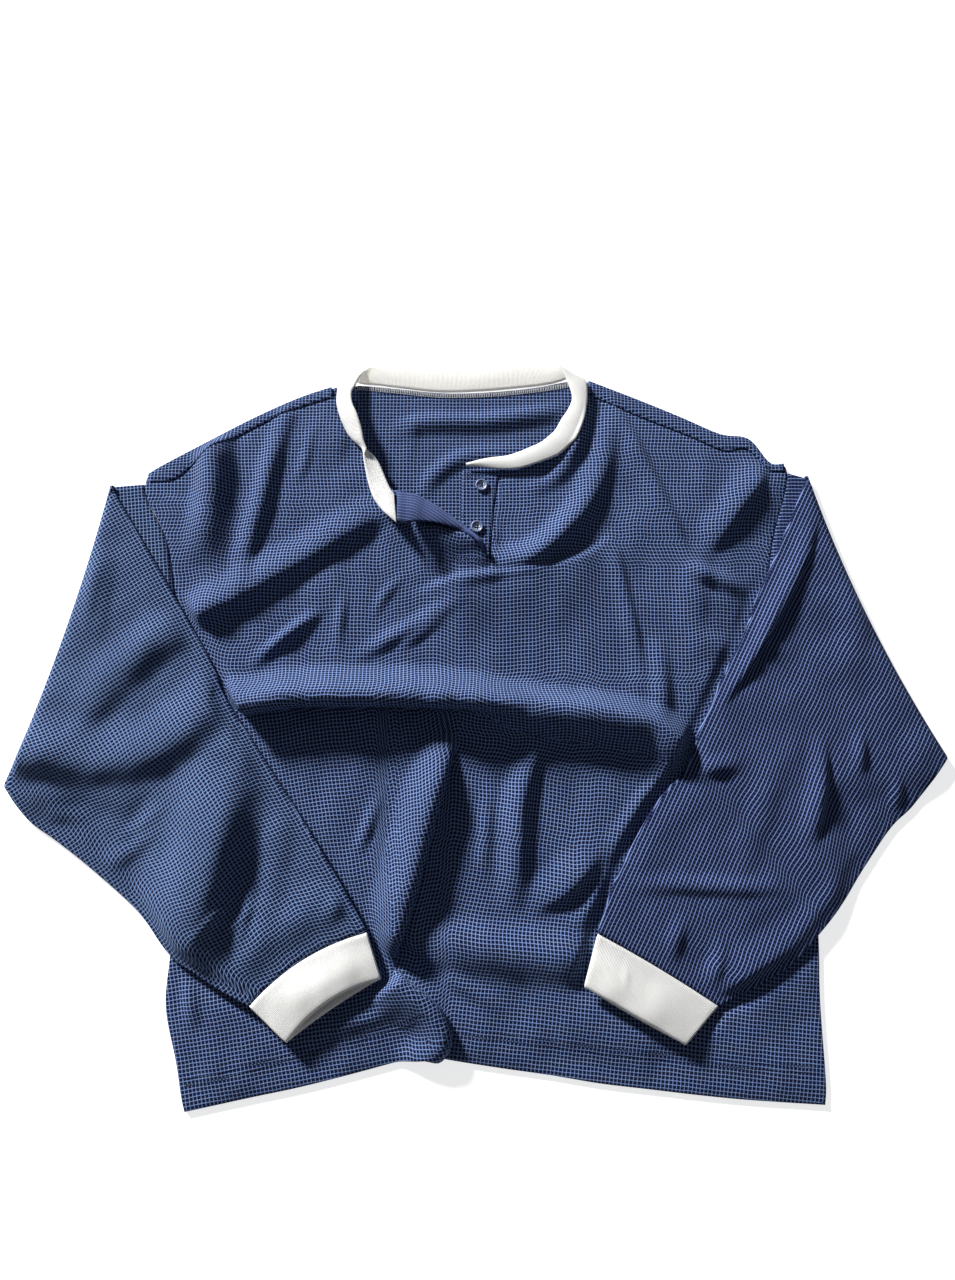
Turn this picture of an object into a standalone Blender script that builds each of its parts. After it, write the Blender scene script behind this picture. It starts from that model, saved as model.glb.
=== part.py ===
"""Thermal top: a waffle-knit henley laid flat, sleeves folded in over the body.

Units in the tables are millimetres, and MM turns them into metres.  X runs across the
top, Y from the hem towards the collar, Z up from the surface that the top lies on.  The
origin is under the middle of its outline.  Every cloth piece is drawn as its middle surface
and given its wall by a Solidify modifier.
"""
import math

import bmesh
import bpy
from mathutils import Vector
from mathutils.geometry import delaunay_2d_cdt

# ------------------------------------------------------------------ driving dimensions, mm
MM = 0.001
WALL = 1.7            # waffle cloth
RIB_WALL = 2.2        # doubled rib of the neck band
CUFF_WALL = 2.0       # doubled rib of a cuff
GAP = 0.4             # clear space between two layers that lie on each other
SEAM_GAP = 0.45       # clear space between two pieces that are sewn edge to edge
BACK_Z = WALL / 2.0                       # middle surface of the back panel
FRONT_Z = WALL + GAP + WALL / 2.0         # middle surface of the front panel
LAYER = WALL + GAP                        # one more layer of waffle cloth
SLEEVE_LEVEL = 9.0                        # a sleeve stays level this far past the cloth below it
SLEEVE_RUN = 30.0                         # and takes this far to come down to the surface
SLEEVE_LOFT = 1.5                         # how far a sleeve's upper layer stands off its lower one
EDGE_SHARE = 0.16                         # share of the width over which its folds rise from an edge
WRIST_SHARE = 0.14                        # share of the length over which they die out at the cuff
CLEAR_MARGIN = 12.0                       # the front lies level this far round a sleeve
CLEAR_RUN = 18.0                          # and takes this far to reach its full relief
EDGE_CLEARANCE = 6.0                      # fold points stay this far inside a panel's edge
FRONT_EDGE_STEP = 17.0                    # length of a mesh edge along the front's outline
FRONT_GRID = (23.0, 7.0, 15.0)            # plain mesh step, margin from the edge, least distance
MAIN_FOLDS = 2                            # how many folds of the front get the finer mesh
MAIN_FOLD_MESH = (13.0, 4.5)              # mesh step along a main fold's crest, least distance
SMALL_FOLD_MESH = (16.0, 7.5)             # the same for a small fold
MAIN_SHARES = (-1.0, -0.66, -0.33, 0.0, 0.3, 0.6, 1.0)   # mesh rows across a main fold
SMALL_SHARES = (-0.9, -0.45, 0.0, 0.5, 1.0)              # mesh rows across a small fold
BACK_EDGE_STEP = 24.0                     # length of a mesh edge along the back's outline
BACK_GRID = (60.0, 20.0)                  # plain mesh step, margin from the edge
FLAP_CROWN = 2.2                          # rise of the turned placket flap between its edges
FLAP_LIFT = 0.3                           # extra clear space under it
FLAP_STEPS = 3                            # mesh steps across it
UNDER_DROP = 0.05                         # the under placket lies this much lower than the front
CUFF_REST = 0.3                           # extra clear space under a cuff
CUFF_ROWS = 4                             # mesh rows along a cuff
CUFF_UNDER_SHARE = 0.25                   # share of the mouth's curve that its lower layer takes
CUFF_CROWN_START = 1.4                    # a mouth's crown is full at 1 over this share of its length
BAND_STEPS = 3                            # mesh steps across the neck band
LOWER_ROWS = 4                            # mesh rows of a sleeve from the armhole to its fold
TURN_ANGLES = (0, 36, 72, 108, 144, 180)  # mesh rows round that fold, degrees
UPPER_ROWS = 14                           # mesh rows from the fold to the wrist
BOW_SHARE = 0.2                           # share of the length over which the fold's bow dies out
WRIST_CURVE_START = 0.55                  # share of the length where the wrist seam's curve begins
SHOULDER_STEPS = 16                       # steps along a shoulder, the same on both pieces
RING_STEPS = 10                           # steps across one layer of a flattened tube
END_STEPS = 3                             # steps round its folded edge
ARMHOLE_TRIM = 0.012                      # share of the armhole left free at each end
BUTTON_RADIUS = 6.25
BUTTON_THICKNESS = 2.6
BUTTON_GAP = 0.25                         # clear space between a button and its strip
BUTTON_SIDES = 20
SWELL = 1.6                               # how far the front stands off the back between its edges
SWELL_RUN = 40.0                          # how far in from an edge it takes to rise that much
PLACKET_RISE = 2.4                        # how far the front climbs over the under placket
PLACKET_HUMP = (-16.0, 172.0)             # middle of the place where it does
HUMP_FLAT = 24.0                          # how wide the climb's level top is
HUMP_RUN = 20.0                           # how far it takes to come down from there
HUMP_STRETCH = 0.72                       # the hump is this much narrower along Y than along X
SLEEVE_LIFT = 2.0 * LAYER + 0.1           # underside of a sleeve where it lies on the body

# ------------------------------------------------------------------ outlines, mm (x, y)
SHOULDER_LEFT_FOLD = [(-331, 236), (-314, 247), (-270, 272), (-225, 297), (-181, 318), (-145, 331)]
SHOULDER_RIGHT_FOLD = [(120, 335), (165, 315), (206, 297), (245, 279), (273, 274), (293, 249), (309, 248)]
SHOULDER_LEFT_SEAM = [(-330, 231), (-304, 233), (-280, 252), (-240, 279), (-191, 305), (-143, 322)]
SHOULDER_RIGHT_SEAM = [(118, 323), (165, 299), (215, 278), (248, 263), (271, 265), (292, 243), (309, 242)]
ARMHOLE_LEFT = [(-334, 229), (-328, 208), (-316, 188), (-306, 165), (-300, 138), (-295, 108), (-291, 60),
                (-289, 0), (-290, -60)]
ARMHOLE_RIGHT = [(312, 241), (305, 212), (295, 181), (288, 148), (285, 110), (286, 60), (294, 0), (312, -55)]
SIDE_LEFT = [(-290, -60), (-286, -140), (-282, -210), (-284, -250), (-284, -266), (-281, -284), (-272, -316),
             (-266, -345), (-262, -359)]
SIDE_RIGHT = [(312, -55), (314, -140), (314, -211), (312, -264), (313, -333), (311, -353)]
HEM = [(-262, -359), (-204, -347), (-159, -338), (-113, -327), (-70, -316), (-47, -311), (-26, -315),
       (21, -322), (66, -328), (110, -335), (155, -340), (200, -345), (245, -349), (311, -353)]
NECK_BACK = [(-144, 330), (-122, 333), (-79, 329), (-28, 325), (23, 327), (64, 332), (90, 337), (118, 335)]
NECK_FRONT_LEFT = [(-143, 322), (-142, 312), (-139, 297), (-131, 277), (-117, 260), (-101, 251), (-91, 235),
                   (-84, 217)]
PLACKET_ROLL = [(-84, 217), (-58, 213), (-37, 204), (-19, 191), (-3, 176), (9, 155), (17, 143)]
PLACKET_SEAM = [(17, 143), (21, 170), (22, 205), (23, 241)]
NECK_FRONT_RIGHT = [(23, 241), (53, 243), (83, 254), (102, 267), (112, 286), (118, 308), (118, 323)]

# ------------------------------------------------------------------ folds of the front, mm
# name, crest points, crest heights, width before the crest, width on the lee side, lean.
# The lee side is on the right hand going along the crest, and the crest leans over it.
FRONT_FOLDS = [
    ("belly_roll",
     [(-262, 22), (-240, 27), (-205, 31), (-172, 32), (-75, 31), (2, 27), (80, 19), (137, 9), (172, -6),
      (196, -22)],
     [0, 13, 20, 24, 26, 26, 23, 20, 14, 0], 44, 19, 17),
    ("pleat",
     [(-45, -312), (-36, -296), (-48, -276), (-62, -258), (-76, -242), (-82, -220), (-80, -180), (-66, -139),
      (-50, -84), (-36, -36), (-34, -20)],
     [7, 9, 10, 12, 14, 15, 15, 14, 12, 7, 0], 34, 14, 9),
    ("chest_left", [(-222, 128), (-180, 157), (-130, 184), (-98, 194)], [0, 8, 9, 0], 36, 15, 5),
    ("yoke_left", [(-248, 160), (-232, 205), (-216, 250)], [0, 5, 0], 22, 22, 0),
    ("chest_low_left", [(-150, 60), (-128, 100), (-110, 128)], [0, 4, 0], 12, 12, 2),
    ("chest_middle", [(-118, 60), (-60, 96), (0, 122)], [0, 4, 0], 16, 14, 3),
    ("placket_right", [(30, 140), (62, 178), (98, 215), (128, 262), (132, 305)], [0, 5, 9, 9, 2], 20, 26, 4),
    ("chest_right", [(214, 90), (196, 150), (176, 215), (158, 285)], [0, 6, 7, 0], 24, 10, 3),
    ("shoulder_right", [(238, 178), (246, 210), (250, 252)], [0, 7, 2], 20, 18, 2),
    ("armhole_right", [(196, 140), (232, 132), (262, 118)], [0, 5, 0], 14, 16, 2),
    ("flank_right", [(180, 12), (182, 45), (170, 78)], [0, 5, 0], 14, 14, 2),
    ("waist_middle", [(36, -176), (36, -110), (32, -44)], [0, 7, 3], 22, 15, 3),
    ("waist_right", [(62, -186), (100, -130), (136, -84)], [0, 7, 0], 22, 18, 4),
    ("hem_swell", [(-30, -222), (30, -214), (104, -232)], [0, 7, 0], 24, 18, 4),
    ("tuck_left", [(-206, -26), (-180, -18), (-150, -14)], [0, 6, 0], 16, 12, 2),
]

# ------------------------------------------------------------------ sleeves, mm
# The shoulder edge and the underarm edge of the part that lies on top, fold to cuff seam.
SLEEVE_LEFT_TOP_EDGE = [(-366, 226), (-298, 116), (-254, 42), (-245, 19), (-218, -22), (-168, -95),
                        (-128, -157), (-101, -202)]
SLEEVE_LEFT_UNDER_EDGE = [(-447, -70), (-423, -102), (-396, -121), (-371, -139), (-348, -157), (-325, -176),
                          (-306, -194), (-281, -224), (-258, -239), (-231, -255), (-207, -267)]
SLEEVE_RIGHT_TOP_EDGE = [(330, 236), (318, 209), (304, 178), (288, 143), (273, 113), (257, 73), (234, 31),
                         (219, -3), (210, -20), (197, -54), (178, -74), (163, -93), (143, -127), (124, -164),
                         (110, -204)]
SLEEVE_RIGHT_UNDER_EDGE = [(446, -44), (429, -67), (409, -91), (388, -110), (360, -147), (341, -174),
                           (317, -202), (288, -231), (254, -251), (219, -268)]
CUFF_LEFT_END = [(-89, -239), (-171, -298)]
CUFF_RIGHT_END = [(96, -250), (186, -300)]

# name, crest points, crest heights, width before the crest, width on the lee side
SLEEVE_LEFT_FOLDS = [
    ("over_roll", [(-330, 4), (-290, 18), (-252, 30)], [0, 6, 8], 24, 16),
    ("elbow_upper", [(-400, 0), (-360, 22), (-318, 62)], [0, 5, 0], 20, 16),
    ("elbow_middle", [(-356, -40), (-300, -8), (-256, 12)], [0, 6, 2], 20, 16),
    ("forearm", [(-330, -130), (-290, -88), (-250, -36)], [0, 7, 0], 30, 24),
    ("wrist", [(-230, -210), (-196, -150), (-176, -120)], [0, 5, 0], 18, 14),
]
SLEEVE_RIGHT_FOLDS = [
    ("tuck", [(246, 0), (262, 32), (288, 92), (312, 150), (326, 205)], [6, 9, 9, 8, 3], 26, 10),
    ("elbow", [(368, -96), (372, -40), (350, 20)], [0, 7, 0], 18, 12),
    ("forearm_one", [(250, -190), (270, -120), (300, -50)], [0, 5, 0], 14, 12),
    ("forearm_two", [(204, -180), (226, -110), (252, -44)], [0, 5, 0], 14, 12),
    ("forearm_three", [(166, -196), (186, -130), (214, -70)], [0, 4, 0], 12, 10),
]

# ------------------------------------------------------------------ neck band, mm
# x and y of the seam, height of its middle, angle from outwards flat (0) over upright (90) to
# inwards flat (180), how wide the band shows there, and on which side of the panel's edge it
# starts (1 outside it, -1 inside it).  From the open left end round the back to the right end.
BAND_STATIONS = [
    # x, y, z, lean, width, side
    (-84, 217, 6.3, 2, 21, -1),
    (-87, 227, 6.3, 2, 21, -1),
    (-91, 236, 6.3, 4, 20, -1),
    (-97, 246, 6.4, 16, 19, -1),
    (-106, 254, 6.0, 60, 17, -1),
    (-115, 261, 5.4, 105, 17, -1),
    (-124, 269, 4.6, 140, 18, -1),
    (-132, 280, 4.2, 158, 18, -1),
    (-139, 297, 4.2, 162, 18, -1),
    (-142, 312, 4.2, 150, 19, -1),
    (-143, 322, 4.4, 128, 20, -1),
    (-140, 331, 4.2, 96, 21, 1),
    (-131, 333, 3.2, 60, 22, 1),
    (-120, 333, 2.4, 28, 22, 1),
    (-105, 332, 1.6, 8, 23, 1),
    (-79, 329, 1.1, 0, 24, 1),
    (-28, 325, 1.1, 0, 25, 1),
    (23, 327, 1.1, 0, 26, 1),
    (64, 332, 1.3, 6, 25, 1),
    (84, 336, 2.2, 22, 24, 1),
    (98, 338, 3.0, 52, 23, 1),
    (109, 338, 3.8, 88, 22, 1),
    (116, 331, 4.2, 122, 21, 1),
    (118, 320, 4.4, 146, 21, -1),
    (118, 308, 4.2, 158, 21, -1),
    (112, 286, 4.2, 160, 20, -1),
    (102, 267, 4.2, 158, 19, -1),
    (83, 254, 4.3, 150, 18, -1),
    (53, 244, 4.5, 140, 17, -1),
    (23, 243, 4.7, 128, 15, -1),
    (0, 243, 5.0, 112, 13, -1),
    (-13, 244, 5.2, 100, 12, -1),
]

# Both edges of the turned placket flap, from the neck to its foot.
FLAP_ROLL = [(-80, 215.5), (-58, 211.5), (-37, 202.5), (-20, 189.5), (-5, 174), (5, 158)]
FLAP_FREE = [(-79, 190), (-57, 188), (-37, 185), (-20, 176.5), (-7, 166), (3, 155.5)]
UNDER_PLACKET = [(-17, 152), (16.3, 152), (20.4, 170), (21.4, 205), (22.4, 240), (-15.5, 241.5)]
BUTTONS = [("button_top", (5.5, 226.5)), ("button_bottom", (-0.5, 186.5))]

COLOURS = {
    # name: (red, green, blue, roughness)
    "waffle_knit": (0.045, 0.080, 0.190, 0.92),
    "rib_trim": (0.80, 0.79, 0.76, 0.90),
    "button": (0.055, 0.085, 0.180, 0.35),
}


# ------------------------------------------------------------------ small helpers
def clear_scene():
    """Remove every object that is in the file."""
    for item in list(bpy.data.objects):
        bpy.data.objects.remove(item, do_unlink=True)


def smooth(value):
    """Ease a value from 0 to 1, clamped at both ends."""
    value = max(0.0, min(1.0, value))
    return value * value * (3.0 - 2.0 * value)


def polyline_lengths(points):
    """Running length at each point of a polyline."""
    lengths = [0.0]
    for start, end in zip(points, points[1:]):
        lengths.append(lengths[-1] + math.dist(start, end))
    return lengths


def point_at(points, fraction):
    """Point at a fraction of a polyline's length."""
    lengths = polyline_lengths(points)
    target = max(0.0, min(1.0, fraction)) * lengths[-1]
    for index in range(len(points) - 1):
        if target <= lengths[index + 1] or index == len(points) - 2:
            span = lengths[index + 1] - lengths[index]
            part = (target - lengths[index]) / span
            start, end = points[index], points[index + 1]
            return tuple(a + (b - a) * part for a, b in zip(start, end))
    return points[-1]


def resample(points, step):
    """Points along a polyline about one step apart, its own corners kept."""
    result = [points[0]]
    for start, end in zip(points, points[1:]):
        count = max(1, round(math.dist(start, end) / step))
        for index in range(1, count + 1):
            part = index / count
            result.append((start[0] + (end[0] - start[0]) * part, start[1] + (end[1] - start[1]) * part))
    return result


def even_points(points, count, first=0.0, last=1.0):
    """Points spread evenly between two fractions of a polyline's length."""
    return [point_at(points, first + (last - first) * index / count) for index in range(count + 1)]


def nearest_on(points, x, y):
    """Distance to a polyline, side (+1 right hand), running length there and right-hand normal."""
    best = None
    run = 0.0
    for (ax, ay), (bx, by) in zip(points, points[1:]):
        dx, dy = bx - ax, by - ay
        length = math.hypot(dx, dy)
        part = max(0.0, min(1.0, ((x - ax) * dx + (y - ay) * dy) / (length * length)))
        px, py = ax + dx * part, ay + dy * part
        distance = math.hypot(x - px, y - py)
        if best is None or distance < best[0]:
            side = 1.0 if (x - ax) * dy - (y - ay) * dx > 0.0 else -1.0
            best = (distance, side, run + part * length, (dy / length, -dx / length))
        run += length
    return best


def inside(polygon, x, y):
    """Whether a point lies in a closed polygon."""
    hit = False
    for (ax, ay), (bx, by) in zip(polygon, polygon[1:] + polygon[:1]):
        if (ay > y) != (by > y) and x < (bx - ax) * (y - ay) / (by - ay) + ax:
            hit = not hit
    return hit


def distance_outside(polygon, x, y):
    """Distance from a closed polygon, 0 inside it."""
    if inside(polygon, x, y):
        return 0.0
    return nearest_on(polygon + polygon[:1], x, y)[0]


def fold_relief(folds, x, y):
    """Height and sideways shift that a table of folds gives at one place."""
    height = shift_x = shift_y = 0.0
    for fold in folds:
        _name, crest, heights, before, lee = fold[:5]
        lean = fold[5] if len(fold) > 5 else 0.0
        distance, side, run, normal = nearest_on(crest, x, y)
        width = lee if side > 0.0 else before
        if distance >= width:
            continue
        lengths = polyline_lengths(crest)
        crest_height = heights[-1]
        for index in range(len(crest) - 1):
            if run <= lengths[index + 1]:
                part = (run - lengths[index]) / (lengths[index + 1] - lengths[index])
                crest_height = heights[index] + (heights[index + 1] - heights[index]) * part
                break
        shape = 0.5 + 0.5 * math.cos(math.pi * distance / width)
        height += crest_height * shape
        share = crest_height / max(heights)
        shift_x += normal[0] * lean * share * shape
        shift_y += normal[1] * lean * share * shape
    return height, shift_x, shift_y


def material(name):
    """One Principled material from the colour table."""
    found = bpy.data.materials.get(name)
    if found:
        return found
    red, green, blue, roughness = COLOURS[name]
    made = bpy.data.materials.new(name)
    made.use_nodes = True
    shader = made.node_tree.nodes["Principled BSDF"]
    shader.inputs["Base Color"].default_value = (red, green, blue, 1.0)
    shader.inputs["Roughness"].default_value = roughness
    made.diffuse_color = (red, green, blue, 1.0)
    return made


def add_piece(name, vertices, faces, slot, wall=0.0):
    """Link a mesh object in metres; a wall above 0 thickens its middle surface."""
    mesh = bpy.data.meshes.new(name)
    mesh.from_pydata([Vector(vertex) * MM for vertex in vertices], [], faces)
    mesh.update()
    build = bmesh.new()
    build.from_mesh(mesh)
    bmesh.ops.triangulate(build, faces=build.faces)
    build.to_mesh(mesh)
    build.free()
    piece = bpy.data.objects.new(name, mesh)
    own = material(slot).copy()
    own.name = name + "_finish"
    mesh.materials.append(own)
    bpy.context.collection.objects.link(piece)
    if wall > 0.0:
        solid = piece.modifiers.new("wall", 'SOLIDIFY')
        solid.thickness = wall * MM
        solid.offset = 0.0
        solid.use_even_offset = False
        solid.use_rim = True
    mesh.shade_smooth()
    return piece


# ------------------------------------------------------------------ flat panels
def hex_grid(outline, step, margin):
    """Points of a triangular grid that lie inside an outline, clear of its edge."""
    xs = [p[0] for p in outline]
    ys = [p[1] for p in outline]
    points = []
    row = 0
    y = min(ys) + step / 2.0
    while y < max(ys):
        x = min(xs) + (step / 2.0 if row % 2 else 0.0)
        while x < max(xs):
            if inside(outline, x, y) and nearest_on(outline + outline[:1], x, y)[0] > margin:
                points.append((x, y))
            x += step
        y += step * math.sqrt(3.0) / 2.0
        row += 1
    return points


def fold_points(folds, outline, step, shares):
    """Points along both slopes of each fold, so that the mesh follows its section."""
    points = []
    for fold in folds:
        _name, crest, _heights, before, lee = fold[:5]
        for x, y in resample(crest, step):
            normal = nearest_on(crest, x + 0.01, y)[3]
            for share in shares:
                reach = share * (lee if share > 0.0 else before)
                px, py = x + normal[0] * reach, y + normal[1] * reach
                if inside(outline, px, py) and nearest_on(outline + outline[:1], px, py)[0] > EDGE_CLEARANCE:
                    points.append((px, py))
    return points


def thin_points(groups):
    """Join groups of points, each with its own least distance, the first group kept best."""
    kept = []
    for points, least in groups:
        for x, y in points:
            if all((x - kx) ** 2 + (y - ky) ** 2 >= max(least, kl) ** 2 for kx, ky, kl in kept):
                kept.append((x, y, least * 0.8))
    return [(x, y) for x, y, _least in kept]


def triangulate(outline, inner):
    """Triangles that fill an outline through the inner points."""
    count = len(outline)
    points = [Vector(p) for p in outline] + [Vector(p) for p in inner]
    edges = [(index, (index + 1) % count) for index in range(count)]
    made, _edges, faces, _a, _b, _c = delaunay_2d_cdt(points, edges, [], 1, 1e-4)
    return [(p.x, p.y) for p in made], [tuple(face) for face in faces]


def armhole_points(armhole, side, shift):
    """Points of an armhole seam, moved sideways to one of the two pieces that meet there."""
    points = even_points(armhole, RING_STEPS, ARMHOLE_TRIM, 1.0 - ARMHOLE_TRIM)
    return [(x + side * shift, y) for x, y in points]


def body_outline(shoulder_left, shoulder_right, neck):
    """Closed outline of a body panel from its hem round to its neck."""
    armhole_left = armhole_points(ARMHOLE_LEFT, -1, -SEAM_GAP)
    armhole_right = armhole_points(ARMHOLE_RIGHT, 1, -SEAM_GAP)
    right = SIDE_RIGHT[::-1][:-1] + armhole_right[::-1]
    left = armhole_left + SIDE_LEFT[1:-1]
    return HEM[:-1] + right + shoulder_right[::-1] + neck + shoulder_left[::-1] + left


# ------------------------------------------------------------------ the sleeves' ground
LOWER_SLEEVE_LEFT = ARMHOLE_LEFT + [(-447, -70), (-366, 226)]
LOWER_SLEEVE_RIGHT = ARMHOLE_RIGHT + [(446, -44), (330, 236)]
BODY_AREA = (HEM[:-1] + SIDE_RIGHT[::-1] + ARMHOLE_RIGHT[::-1][1:] + SHOULDER_LEFT_FOLD[::-1]
             + ARMHOLE_LEFT + SIDE_LEFT[1:-1])
SLEEVE_AREAS = [
    SLEEVE_LEFT_TOP_EDGE + CUFF_LEFT_END + SLEEVE_LEFT_UNDER_EDGE[::-1],
    SLEEVE_RIGHT_TOP_EDGE + CUFF_RIGHT_END + SLEEVE_RIGHT_UNDER_EDGE[::-1],
]


def sleeve_ground(lower_area, x, y):
    """Height of a sleeve's underside: on the cloth below it, falling to the surface beside it."""
    distance = min(distance_outside(BODY_AREA, x, y), distance_outside(lower_area, x, y))
    return SLEEVE_LIFT * (1.0 - smooth((distance - SLEEVE_LEVEL) / SLEEVE_RUN))


def clear_of_sleeves(x, y):
    """1 in the open front, falling to 0 where a sleeve lies on it."""
    nearest = min(distance_outside(area, x, y) for area in SLEEVE_AREAS)
    return smooth((nearest - CLEAR_MARGIN) / CLEAR_RUN)


# ------------------------------------------------------------------ pieces
def front_outline():
    """Closed outline of the front panel with the placket slit open."""
    slit = PLACKET_SEAM[::-1] + PLACKET_ROLL[::-1][1:-1]
    neck = NECK_FRONT_RIGHT[::-1][1:-1] + slit + NECK_FRONT_LEFT[::-1]
    shoulder_left = even_points(SHOULDER_LEFT_SEAM, SHOULDER_STEPS)[1:-1]
    shoulder_right = even_points(SHOULDER_RIGHT_SEAM, SHOULDER_STEPS)[:-1]
    outline = body_outline(shoulder_left, shoulder_right, neck)
    return resample(outline + outline[:1], FRONT_EDGE_STEP)[:-1]


def front_point(outline, x, y):
    """Where a point of the flat front panel lies, on its middle surface."""
    height, shift_x, shift_y = fold_relief(FRONT_FOLDS, x, y)
    free = clear_of_sleeves(x, y)
    over_placket = 0.0
    foot_x, foot_y = PLACKET_SEAM[0]
    if x < foot_x + 1.0 and y > foot_y - 4.0:
        hump_x, hump_y = PLACKET_HUMP
        distance = math.hypot((x - hump_x) * HUMP_STRETCH, y - hump_y)
        over_placket = 1.0 - smooth((distance - HUMP_FLAT) / HUMP_RUN)
    swell = SWELL * free * smooth(nearest_on(outline + outline[:1], x, y)[0] / SWELL_RUN)
    z = FRONT_Z + swell + free * height + PLACKET_RISE * over_placket
    return x + free * shift_x, y + free * shift_y, z


def build_front(outline):
    """Front panel with its folds, open at the placket."""
    main_step, main_least = MAIN_FOLD_MESH
    small_step, small_least = SMALL_FOLD_MESH
    grid_step, grid_margin, grid_least = FRONT_GRID
    inner = thin_points([
        (fold_points(FRONT_FOLDS[:MAIN_FOLDS], outline, main_step, MAIN_SHARES), main_least),
        (fold_points(FRONT_FOLDS[MAIN_FOLDS:], outline, small_step, SMALL_SHARES), small_least),
        (hex_grid(outline, grid_step, grid_margin), grid_least),
    ])
    plan, faces = triangulate(outline, inner)
    vertices = [front_point(outline, x, y) for x, y in plan]
    return add_piece("front", vertices, faces, "waffle_knit", WALL)


def build_back():
    """Back panel, flat, its shoulder edges turned up over the shoulder to the forward seam."""
    neck = [(x, y - SEAM_GAP) for x, y in NECK_BACK[::-1]]
    shoulder_left = even_points(SHOULDER_LEFT_FOLD, SHOULDER_STEPS)[:-1]
    shoulder_right = even_points(SHOULDER_RIGHT_FOLD, SHOULDER_STEPS)[1:]
    outline = body_outline(shoulder_left, shoulder_right, neck)
    outline = resample(outline + outline[:1], BACK_EDGE_STEP)[:-1]
    plan, faces = triangulate(outline, hex_grid(outline, *BACK_GRID))
    vertices = [(x, y, BACK_Z) for x, y in plan]
    radius = (FRONT_Z - BACK_Z) / 2.0
    for fold, seam in ((SHOULDER_LEFT_FOLD, SHOULDER_LEFT_SEAM), (SHOULDER_RIGHT_FOLD, SHOULDER_RIGHT_SEAM)):
        rows = []
        starts = even_points(fold, SHOULDER_STEPS)
        goals = even_points(seam, SHOULDER_STEPS)
        for (x, y), (goal_x, goal_y) in zip(starts, goals):
            index = min(range(len(outline)), key=lambda item: math.dist(plan[item], (x, y)))
            if math.dist(plan[index], (x, y)) > 0.01:
                continue
            dx, dy = goal_x - x, goal_y - y
            length = math.hypot(dx, dy)
            ux, uy = dx / length, dy / length
            row = [index]
            for turn in (45, 90, 135, 180):
                angle = math.radians(turn)
                out = radius * math.sin(angle)
                vertices.append((x - ux * out, y - uy * out, BACK_Z + radius * (1.0 - math.cos(angle))))
                row.append(len(vertices) - 1)
            reach = max(1.0, length - 2.0 * SEAM_GAP)
            vertices.append((x + ux * reach, y + uy * reach, FRONT_Z))
            row.append(len(vertices) - 1)
            rows.append(row)
        for row, following in zip(rows, rows[1:]):
            for a, b, c, d in zip(row, following, following[1:], row[1:]):
                faces.append((a, b, c, d))
    return add_piece("back", vertices, faces, "waffle_knit", WALL)


def tube(rings):
    """Faces that join closed rings of equal length into an open tube."""
    size = len(rings[0])
    vertices = [point for ring in rings for point in ring]
    faces = []
    for row in range(len(rings) - 1):
        for index in range(size):
            a = row * size + index
            b = row * size + (index + 1) % size
            faces.append((a, b, b + size, a + size))
    return vertices, faces


def flat_ring(half, wall):
    """Unit ring of a flattened tube: (share of the width, out-of-edge, height) for each point."""
    radius = half - wall / 2.0
    ring = []
    for index in range(RING_STEPS + 1):
        ring.append((index / RING_STEPS, 0.0, radius))
    for index in range(1, END_STEPS):
        angle = math.pi * index / END_STEPS
        ring.append((1.0, radius * math.sin(angle), radius * math.cos(angle)))
    for index in range(RING_STEPS + 1):
        ring.append((1.0 - index / RING_STEPS, 0.0, -radius))
    for index in range(1, END_STEPS):
        angle = math.pi * index / END_STEPS
        ring.append((0.0, -radius * math.sin(angle), -radius * math.cos(angle)))
    return ring


def inset_ends(start, end, amount):
    """Move both ends of a chord towards each other."""
    dx, dy = end[0] - start[0], end[1] - start[1]
    length = math.hypot(dx, dy)
    ux, uy = dx / length, dy / length
    return ((start[0] + ux * amount, start[1] + uy * amount), (end[0] - ux * amount, end[1] - uy * amount),
            (ux, uy))


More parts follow.
